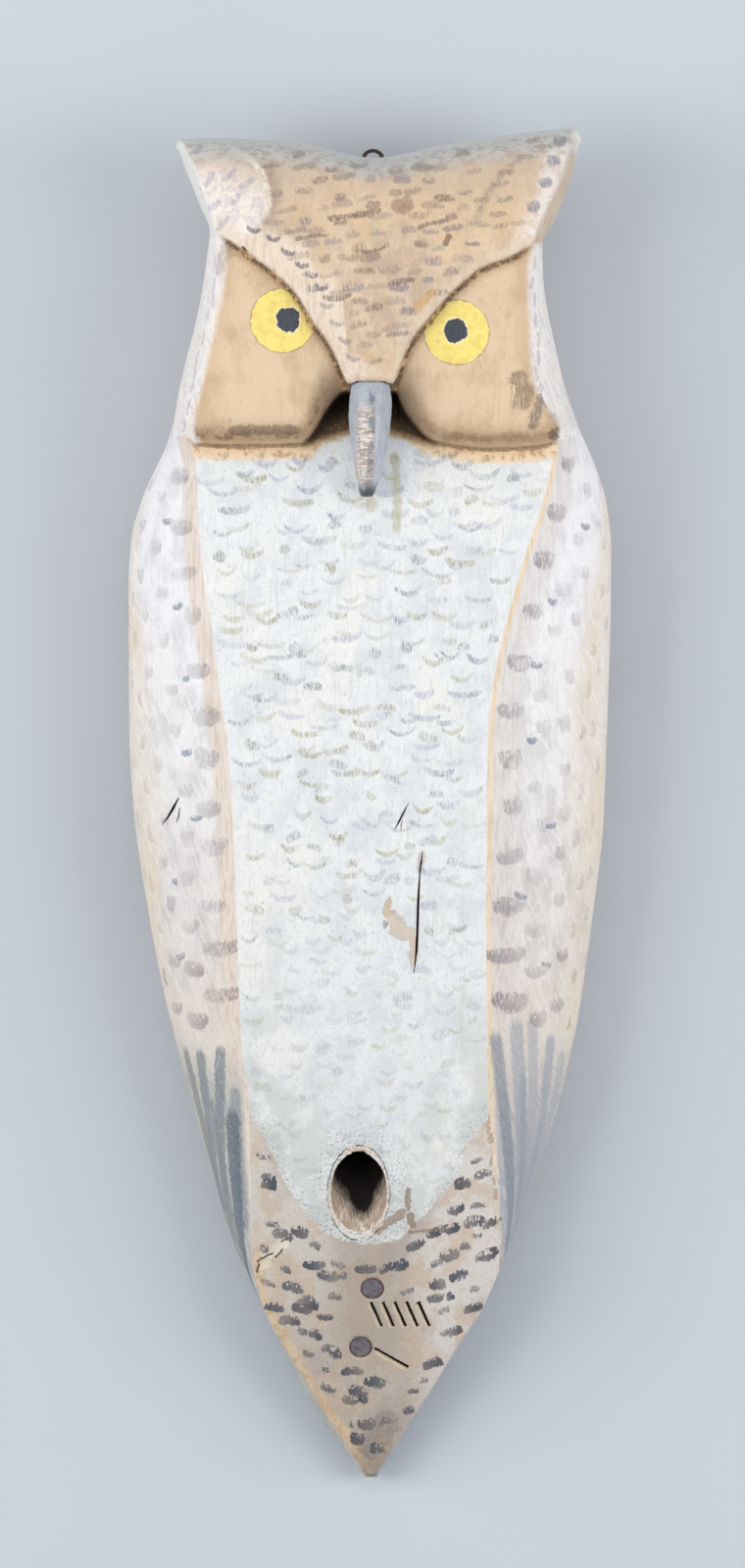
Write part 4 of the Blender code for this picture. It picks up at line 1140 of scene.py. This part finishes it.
# Wear, drawn over everything else. Bare wood first: layer, side, height, turn, half length, half width,
# bend, teeth, dryness, tone, strength and softness.
bareSpots = [
    ("scar", 7.9, 260.6, 76, 4.6, 1.7, 0, 0.2, 0.1, (204, 184, 158), 0.95, 0.3),
    ("scar", 8.9, 257.0, 8, 3.4, 1.5, 0, 0.2, 0.1, (200, 180, 156), 0.93, 0.3),
    ("scar", 11.6, 252.4, -52, 6.6, 3.5, 0, 0.2, 0.1, (210, 196, 178), 0.92, 0.3),
    ("scar", 16.2, 248.6, -10, 4.6, 3.0, 0, 0.2, 0.1, (212, 196, 178), 0.9, 0.3),
    ("scar", 6.9, 252.2, 80, 2.2, 1.2, 0, 0.2, 0.6, (108, 98, 92), 0.7, 0.4),
    ("scar", 19.4, 241.0, 90, 8.0, 1.4, 0, 0.1, 0.1, (214, 192, 172), 0.9, 0.3),
    ("scar", 22.6, 280.0, 80, 5.4, 1.4, 0, 0.1, 0.1, (196, 188, 182), 0.85, 0.3),
    ("scar", 17.0, 128.0, 88, 6.0, 1.35, 0, 0, 0, (166, 150, 134), 0.95, 0.3),
    ("scar", 9.2, 117.6, 36, 9.4, 2.0, 0.8, 0, 0, (170, 154, 138), 0.95, 0.3),
    ("scar", 18.6, 118.0, 104, 4.6, 1.4, 0, 0, 0, (160, 142, 124), 0.95, 0.3),
    ("scar", 24.5, 113.6, 6, 8.0, 0.7, 0, 0.3, 0.3, (142, 124, 104), 0.8, 0.4),
    ("over", -43.0, 105.4, 33, 7.6, 2.7, 0, 0.3, 0.2, (232, 222, 206), 0.95, 0.35),
    ("over", -47.8, 98.0, 24, 4.0, 1.9, 0, 0.3, 0.2, (230, 214, 190), 0.92, 0.35),
]

# Dark splinters in the bare wood beside the socket: side, height, turn and half length.
splinters = [(-47.4, 101.8, 28, 5.0), (-41.0, 103.2, 48, 3.0), (-50.6, 96.6, 75, 2.6),
             (-38.6, 109.5, 20, 2.2)]

# Stains and smudges, and painted shade along the foot of the discs, in the order of the bare spots' numbers.
stains = [
    ("scar", -7.6, 149.3, 0, 3.2, 1.5, 0, 0, 0.1, (226, 202, 186), 0.9, 0.4),
    ("scar", 14.4, 574.0, 10, 5.4, 3.2, 0, 0.3, 0.25, (172, 138, 118), 0.8, 1.0),
    ("scar", 67.4, 491.5, 100, 9.5, 5.0, 0, 0.6, 0.6, (98, 78, 66), 0.6, 2.0),
    ("scar", 74.5, 482.0, 70, 9.0, 2.4, 0, 0.4, 0.5, (104, 92, 92), 0.7, 1.4),
    ("scar", 83.8, 472.6, 20, 4.6, 2.6, 0, 0.5, 0.4, (98, 78, 66), 0.85, 1.0),
    # A dark band along the foot of the left disc: painted shade.
    ("scar", -47.0, 473.4, 0, 17.0, 2.4, 0, 0.0, 0.35, (112, 88, 72), 0.7, 1.6),
    ("scar", -66.5, 551.0, 62, 9.0, 3.4, 0, 0.2, 0.5, (172, 148, 124), 0.55, 3.0),
    # A dark band along the foot of the right disc: painted shade.
    ("scar", 52.0, 470.2, 0, 21.0, 1.7, 0, 0.3, 0.6, (132, 104, 80), 0.45, 1.4),
    ("scar", -56.4, 553.4, 30, 1.7, 1.5, 0, 0, 0, (52, 36, 28), 0.95, 0.4),
    ("scar", 0.4, 440.5, 90, 4.0, 2.4, 0, 0.2, 0.4, (206, 190, 152), 0.6, 1.0),
    ("scar", 12.0, 446.0, 92, 19.0, 1.8, 0.8, 0.2, 0.5, (196, 190, 150), 0.7, 1.2),
    ("scar", 34.5, 558.5, 60, 3.4, 1.2, 0, 0.2, 0.2, (132, 102, 78), 0.8, 0.5),
    ("scar", 24.0, 531.0, 48, 7.0, 2.2, 0, 0.2, 0.4, (224, 178, 112), 0.7, 1.0),
    ("scar", 4.0, 20.0, 60, 13.0, 6.0, 0, 0.2, 0.7, (120, 112, 108), 0.5, 2.5),
]


def wearAndStains():
    for row in bareSpots:
        mark(*row)
    for atSide, atHeight, turn, halfLength in splinters:
        mark("scar", atSide, atHeight, turn, halfLength, 0.42, near(0.8), 0, 0, (74, 60, 46), 0.9, 0.25)
    for row in stains:
        mark(*row)
    # A pale line beside each cut stroke and the long stroke: chipped paint, with a painted highlight on the
    # lit edge of the cut.
    reach = Vector((-math.sin(math.radians(cuts["strokeLean"])), math.cos(math.radians(cuts["strokeLean"]))))
    for i in range(cuts["strokeCount"]):
        middleSide, middleHeight = cuts["strokesAt"][0] + cuts["strokePitch"] * i, cuts["strokesAt"][1]
        mark("scar", middleSide - 0.7, middleHeight - 0.5, math.degrees(math.atan2(reach.y, reach.x)),
             cuts["strokeLength"] / 2 + 0.4, 1.0, 0, 0, 0.2, (226, 206, 178), 0.85, 0.35)
    mark("scar", 9.2, 54.6, -30, 9.6, 1.1, 0, 0, 0.2, (222, 200, 172), 0.8, 0.35)
    for height in np.arange(100, 168, 5.0):
        mark("scar", ridgeBeside(1, height) - 0.6 + near(0.9), height + near(2), 90 + near(18),
             3.2 + near(1.4), 0.9 + near(0.4), 0, 0.3, 0.3,
             (190, 164, 138) if chance.random() < 0.5 else (230, 214, 190), 0.85, 0.4)


# Writes, for every face, the frame of the mark that lies nearest in proportion to its size.
def placeMarks(data, layer, cornerFace, cornerPlace, facePlace):
    rows = np.array(marks[layer])
    sides, heights, turns, lengths, widths, bends = rows[:, :6].T
    nearest = np.zeros(len(facePlace), int)
    for first in range(0, len(facePlace), 4000):
        part = facePlace[first:first + 4000]
        dx = part[:, 0:1] - sides
        dy = part[:, 1:2] - heights
        along = dx * np.cos(turns) + dy * np.sin(turns)
        across = dy * np.cos(turns) - dx * np.sin(turns)
        share = along / lengths
        across = across - bends * np.minimum(share * share, 1.5)
        margin = 0.5 if layer == "scar" else 1.2
        far = (along / (lengths + margin)) ** 4 + (across / (widths + margin)) ** 2
        nearest[first:first + 4000] = np.argmin(far, 1)
    chosen = rows[nearest[cornerFace]]
    dx = cornerPlace[:, 0] - chosen[:, 0]
    dy = cornerPlace[:, 1] - chosen[:, 1]
    cosine, sine = np.cos(chosen[:, 2]), np.sin(chosen[:, 2])
    frames = np.stack((dx * cosine + dy * sine, dy * cosine - dx * sine, chosen[:, 15]), 1)
    writeAttribute(data, layer + "Place", "FLOAT_VECTOR", "CORNER", frames)
    writeAttribute(data, layer + "Shape", "FLOAT_VECTOR", "CORNER", chosen[:, 3:6])
    writeAttribute(data, layer + "Touch", "FLOAT_VECTOR", "CORNER", chosen[:, 6:9])
    writeAttribute(data, layer + "Tone", "FLOAT_COLOR", "CORNER",
                   np.column_stack((chosen[:, 9:12], np.ones(len(chosen)))))
    writeAttribute(data, layer + "Weight", "FLOAT_VECTOR", "CORNER", chosen[:, 12:15])


def writeAttribute(data, name, kind, domain, values):
    made = data.attributes.new(name, kind, domain)
    key = {"FLOAT": "value", "FLOAT_VECTOR": "vector", "FLOAT_COLOR": "color"}[kind]
    made.data.foreach_set(key, np.ascontiguousarray(values, np.float32).ravel())


def addPaintPlaces(data):
    points = coordinates(data)
    side, height, depth = sizesOf(points)
    gaps = gapsAt(side, height)
    facing = depth - line["sideDepth"](height)
    sign = np.where(side > 0, 1.0, -1.0)
    ridge = ridgeAt(sign, height)
    ridgeDepth = np.where(height < 472, breastSurface(sign * ridge, height), 103.0)
    girth = np.hypot(np.abs(side) - ridge, ridgeDepth - depth)
    deepness = np.maximum(np.where(height < 468, breastSurface(side, height), 118.0) - depth, 0)
    for name, values in {**gaps, "facing": facing, "deepness": deepness}.items():
        writeAttribute(data, name, "FLOAT", "POINT", values)
    onFront = (np.abs(side) <= ridge) & (facing > 0)
    writeAttribute(data, "girth", "FLOAT", "POINT", np.where(onFront, 0, girth))

    cornerVertex = np.zeros(len(data.loops), int)
    data.loops.foreach_get("vertex_index", cornerVertex)
    starts = np.zeros(len(data.polygons), int)
    totals = np.zeros(len(data.polygons), int)
    data.polygons.foreach_get("loop_start", starts)
    data.polygons.foreach_get("loop_total", totals)
    cornerFace = np.repeat(np.arange(len(totals)), totals)

    def faceMean(values):
        return np.bincount(cornerFace, values[cornerVertex], len(totals)) / totals

    wrapped = faceMean(onFront.astype(float)) < 0.5
    alongSkin = sign * (ridge + girth)
    cornerSide = np.where(wrapped[cornerFace], alongSkin[cornerVertex], side[cornerVertex])
    faceSide = np.bincount(cornerFace, cornerSide, len(totals)) / totals
    cornerPlace = np.stack((cornerSide, height[cornerVertex]), 1)
    facePlace = np.stack((faceSide, faceMean(height)), 1)
    for layer in marks:
        placeMarks(data, layer, cornerFace, cornerPlace, facePlace)


def carvedBody():
    mesh = bmesh.new()
    front, back = bodySheets()
    addSheet(mesh, front)
    addSheet(mesh, back)
    bmesh.ops.remove_doubles(mesh, verts=mesh.verts, dist=0.01 * mm)
    bmesh.ops.recalc_face_normals(mesh, faces=mesh.faces)
    finishes = [paintedWood(), bareWood("socketWood", 4.5, 14.5, (190, 174, 158)),
                bareWood("crackedWood", 0.15, 0.9, (214, 196, 172))]
    owl = addObject("carvedOwl", mesh, *finishes)
    print("body shaped:", len(owl.data.polygons), "faces")

    tree = BVHTree.FromPolygons([vertex.co for vertex in owl.data.vertices],
                                [polygon.vertices for polygon in owl.data.polygons])
    cutter = addObject("bodyCutter", bodyCutters(tree), *finishes)
    boolean = owl.modifiers.new("cut", "BOOLEAN")
    boolean.operation = "DIFFERENCE"
    boolean.solver = "EXACT"
    boolean.object = cutter
    bpy.context.view_layer.update()
    cutData = bpy.data.meshes.new_from_object(owl.evaluated_get(bpy.context.evaluated_depsgraph_get()))
    owl.modifiers.clear()
    owl.data = cutData
    bpy.data.objects.remove(cutter)
    carveByHand(owl.data, *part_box("owl_body"))
    smoothShading(owl.data, 34)
    print("body cut and carved:", len(owl.data.polygons), "faces")
    for paint in (paintBreast, paintWings, paintFlight, paintTail, paintHead, wearAndStains):
        paint()
    addPaintPlaces(owl.data)
    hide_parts("owl_body")
    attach(owl, "root")
    print("body painted:", {layer: len(rows) for layer, rows in marks.items()})


# The beak: slate paint, worn to pinkish wood along its ridge, dark at the tip.
beak = {"bevel": 1.3, "side": 0.2, "lean": -1.6, "root": 495.0, "tip": 443.5}


def beakFinish():
    finish = Finish("beakPaint", 0.5)
    blend, step = finish.blend, finish.step
    x, y, _ = finish.split(finish.at)
    height = y * 1000 + body["length"] / 2
    share = (beak["root"] - height) / (beak["root"] - beak["tip"])
    across = x * 1000 + body["middleSide"] - beak["side"] - beak["lean"] * share * share
    grain = finish.patches((0.8, 14, 0.8), 4.0, 0.62, 3)
    rings = finish.patches((5.0, 0.9, 5.0), 2.0, 0.5, 13)
    cloud = finish.patches((3.2, 6, 3.2), 3.0, 0.6, 17)
    colour = blend((190, 197, 208), (160, 167, 180), step(cloud * 0.4 + grain * 0.6, 0.40, 0.62))
    colour = blend(colour, (214, 216, 222), step(grain, 0.52, 0.66) * 0.5)
    wornPlace = step(abs(across + 1.6 + (cloud - 0.5) * 5.0), 5.2, 3.0)
    wornPlace = wornPlace * step(share, 0.10, 0.34) * step(share, 0.97, 0.80)
    wornWood = blend((232, 222, 212), (172, 150, 136), step(rings * 0.7 + cloud * 0.3, 0.44, 0.58))
    wornWood = blend(wornWood, (156, 132, 116), step(across, 0.0, 2.4) * 0.6)
    colour = blend(colour, wornWood, wornPlace * step(grain * 0.5 + cloud, 0.58, 0.74) * 0.9)
    darkStreak = step(abs(across - 0.6 + (cloud - 0.5) * 3.0), 2.4, 0.6) * step(cloud, 0.56, 0.44)
    colour = blend(colour, (78, 78, 84), darkStreak * step(share, 0.04, 0.12) * 0.6)
    tip = step(share + (cloud - 0.5) * 0.15, 0.86, 0.96)
    colour = blend(colour, (60, 58, 62), tip * 0.85)
    finish.feed("Base Color", colour)
    finish.feed("Roughness", 0.40 + 0.22 * cloud)
    finish.feed("Normal", finish.bump(grain * 0.6 + cloud * 0.5, 0.35 * mm, 0.9))
    return finish.material


def paintedBeak():
    mesh = nodeCopy("beak")
    bmesh.ops.bevel(mesh, geom=list(mesh.edges), offset=beak["bevel"] * mm, segments=3, profile=0.5,
                    affect="EDGES", material=-1)
    bmesh.ops.triangulate(mesh, faces=mesh.faces)
    bmesh.ops.subdivide_edges(mesh, edges=[edge for edge in mesh.edges if edge.calc_length() > 1.6 * mm],
                              cuts=3, use_grid_fill=True)
    bmesh.ops.triangulate(mesh, faces=mesh.faces)
    mesh.normal_update()
    for vertex, normal in [(vertex, vertex.normal.copy()) for vertex in mesh.verts]:
        wave = noise.noise(vertex.co / mm * 0.16) * 0.22 - 0.12
        vertex.co += normal * wave * mm
    made = addObject("paintedBeak", mesh, beakFinish())
    keepInside(made.data, *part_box("beak"))
    smoothShading(made.data, 42)
    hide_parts("beak")
    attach(made, "root")


# Nail heads, dished and pitted, and the wire eye.
nails = {"nail_upper": (1.0, 87.1), "nail_lower": (-4.2, 60.3), "headWidth": 10.2, "thickness": 1.6,
         "sunk": 0.3, "shank": 3.4, "length": 24.0, "pitting": 0.12}


def rustyMetal(name, tones, metallic):
    finish = Finish(name, 0.6, metallic)
    blend, step = finish.blend, finish.step
    cloud = finish.patches((2.4, 2.4, 2.4), 4.0, 0.65, 3)
    pits = finish.patches((0.7, 0.7, 0.7), 3.0, 0.6, 7)
    colour = blend(tones[0], tones[1], step(cloud, 0.44, 0.60))
    colour = blend(colour, tones[2], step(pits, 0.55, 0.66) * 0.7)
    # The outer rim of a nail head is darker: rust, with painted shade for the gap round the head.
    rim = step(finish.attribute("rim") + (cloud - 0.5) * 0.4, 0.78, 0.98)
    colour = blend(colour, (92, 66, 58), rim * 0.8)
    finish.feed("Base Color", colour)
    finish.feed("Roughness", 0.50 + 0.30 * cloud)
    finish.feed("Normal", finish.bump(cloud * 0.6 + pits * 0.6, 0.25 * mm, 0.9))
    return finish.material


def nailPieces(finish):
    head, shank = nails["headWidth"] / 2, nails["shank"] / 2
    low, top = -nails["thickness"], -nails["sunk"]
    profile = [(0, top - 0.25)] + [(head * t, top - 0.25 + 0.2 * t ** 3) for t in (0.2, 0.4, 0.6, 0.78)]
    profile += [(head - 0.45, top), (head - 0.15, top - 0.1), (head, top - 0.4), (head, low + 0.2),
                (head - 0.3, low), (shank, low), (shank, -nails["length"] + 3), (0, -nails["length"])]
    for number, node in enumerate(("nail_upper", "nail_lower")):
        at = nails[node]
        mesh = lathe(profile, 40)
        bmesh.ops.subdivide_edges(mesh, edges=[e for e in mesh.edges
                                               if max(v.co.z for v in e.verts) > -1.2 * mm],
                                  cuts=1, use_grid_fill=True)
        for vertex in mesh.verts:
            if vertex.co.z > low * mm:
                wave = noise.noise(vertex.co / mm * 0.7 + Vector((9 * number, 0, 0)))
                vertex.co.z += (wave - 0.6) * nails["pitting"] * mm
        rims = [math.hypot(vertex.co.x, vertex.co.y) / (head * mm) for vertex in mesh.verts]
        bmesh.ops.transform(mesh, matrix=Matrix.Translation(breastPoint(*at)) @ turnedTo(breastNormal(*at)),
                            verts=mesh.verts)
        made = addObject(("nailUpper", "nailLower")[number], mesh, finish)
        writeAttribute(made.data, "rim", "FLOAT", "POINT", rims)
        smoothShading(made.data, 40)
        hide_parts(node)
        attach(made, "root")


# The wire's loop is pressed down by this many millimetres, over this reach from its top.
wire = {"bend": 2.0, "reach": 9.0}


def wireEye(finish):
    mesh = nodeCopy("hanging_eye")
    reach = wire["reach"] * mm
    loopFoot = max(vertex.co.y for vertex in mesh.verts) - reach
    for vertex in mesh.verts:
        vertex.co.y -= wire["bend"] * mm * float(ease((vertex.co.y - loopFoot) / reach))
    made = addObject("wireEye", mesh, finish)
    made.data.shade_smooth()
    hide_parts("hanging_eye")
    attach(made, "root")


# The photograph's view: the camera looks straight down on the owl, which lies on its back.
studio = {"middle": (1.2 * mm, 10.0 * mm, 60 * mm), "frameHeight": 707.3 * mm, "lens": 300.0, "sensor": 36.0,
          "floorSize": 9.0, "floorTones": ((196, 203, 212), (204, 210, 218)),
          "skyTone": (0.90, 0.94, 1.0), "skyStrength": 0.36}

# Each light's place and target in metres, its size, power and tone.
lights = {
    "leftLight": ((-1.50, 0.10, 1.30), (0, -0.02, 0.05), (0.9, 2.2), 25, (1.0, 0.99, 0.97)),
    "rightLight": ((1.55, 0.00, 1.20), (0, -0.02, 0.05), (0.9, 2.2), 22.5, (1.0, 0.99, 0.97)),
    "topLight": ((0.0, 0.9, 1.8), (0, 0.0, 0.05), (1.6, 1.0), 6, (1, 1, 1)),
}


def softLight(name, at, target, size, power, tone):
    data = bpy.data.lights.new(name, "AREA")
    data.shape = "RECTANGLE"
    data.size, data.size_y = size
    data.energy = power
    data.color = tone
    made = bpy.data.objects.new(name, data)
    bpy.context.scene.collection.objects.link(made)
    made.location = at
    made.rotation_mode = "QUATERNION"
    made.rotation_quaternion = (Vector(target) - Vector(at)).to_track_quat("-Z", "Y")


def buildStudio():
    mesh = bmesh.new()
    bmesh.ops.create_grid(mesh, x_segments=8, y_segments=8, size=studio["floorSize"] / 2,
                          matrix=Matrix.Translation((0, 0, -0.3 * mm)))
    finish = Finish("paleFloor", 0.85)
    soft = finish.patches((160, 160, 160), 2.0, 0.5)
    finish.feed("Base Color", finish.blend(*studio["floorTones"], soft))
    floor = addObject("floor", mesh, finish.material)
    camera = bpy.data.cameras.new("camera")
    camera.lens, camera.sensor_width = studio["lens"], studio["sensor"]
    camera.clip_end = 30
    seen = bpy.data.objects.new("camera", camera)
    bpy.context.scene.collection.objects.link(seen)
    distance = studio["frameHeight"] * studio["lens"] / studio["sensor"]
    seen.location = Vector(studio["middle"]) + Vector((0, 0, distance))
    bpy.context.scene.camera = seen
    for name, values in lights.items():
        softLight(name, *values)
    world = bpy.data.worlds.new("studio")
    world.use_nodes = True
    sky = world.node_tree.nodes["Background"].inputs
    sky["Color"].default_value = (*studio["skyTone"], 1)
    sky["Strength"].default_value = studio["skyStrength"]
    bpy.context.scene.world = world
    bpy.context.scene.view_settings.view_transform = "Standard"
    print("studio set")


carvedBody()
paintedBeak()
nailPieces(rustyMetal("nailSteel", ((128, 122, 130), (104, 96, 104), (132, 92, 76)), 0.35))
wireEye(rustyMetal("rustyWire", ((96, 74, 62), (70, 56, 50), (134, 86, 58)), 0.4))
print("beak, nails and eye made")
buildStudio()
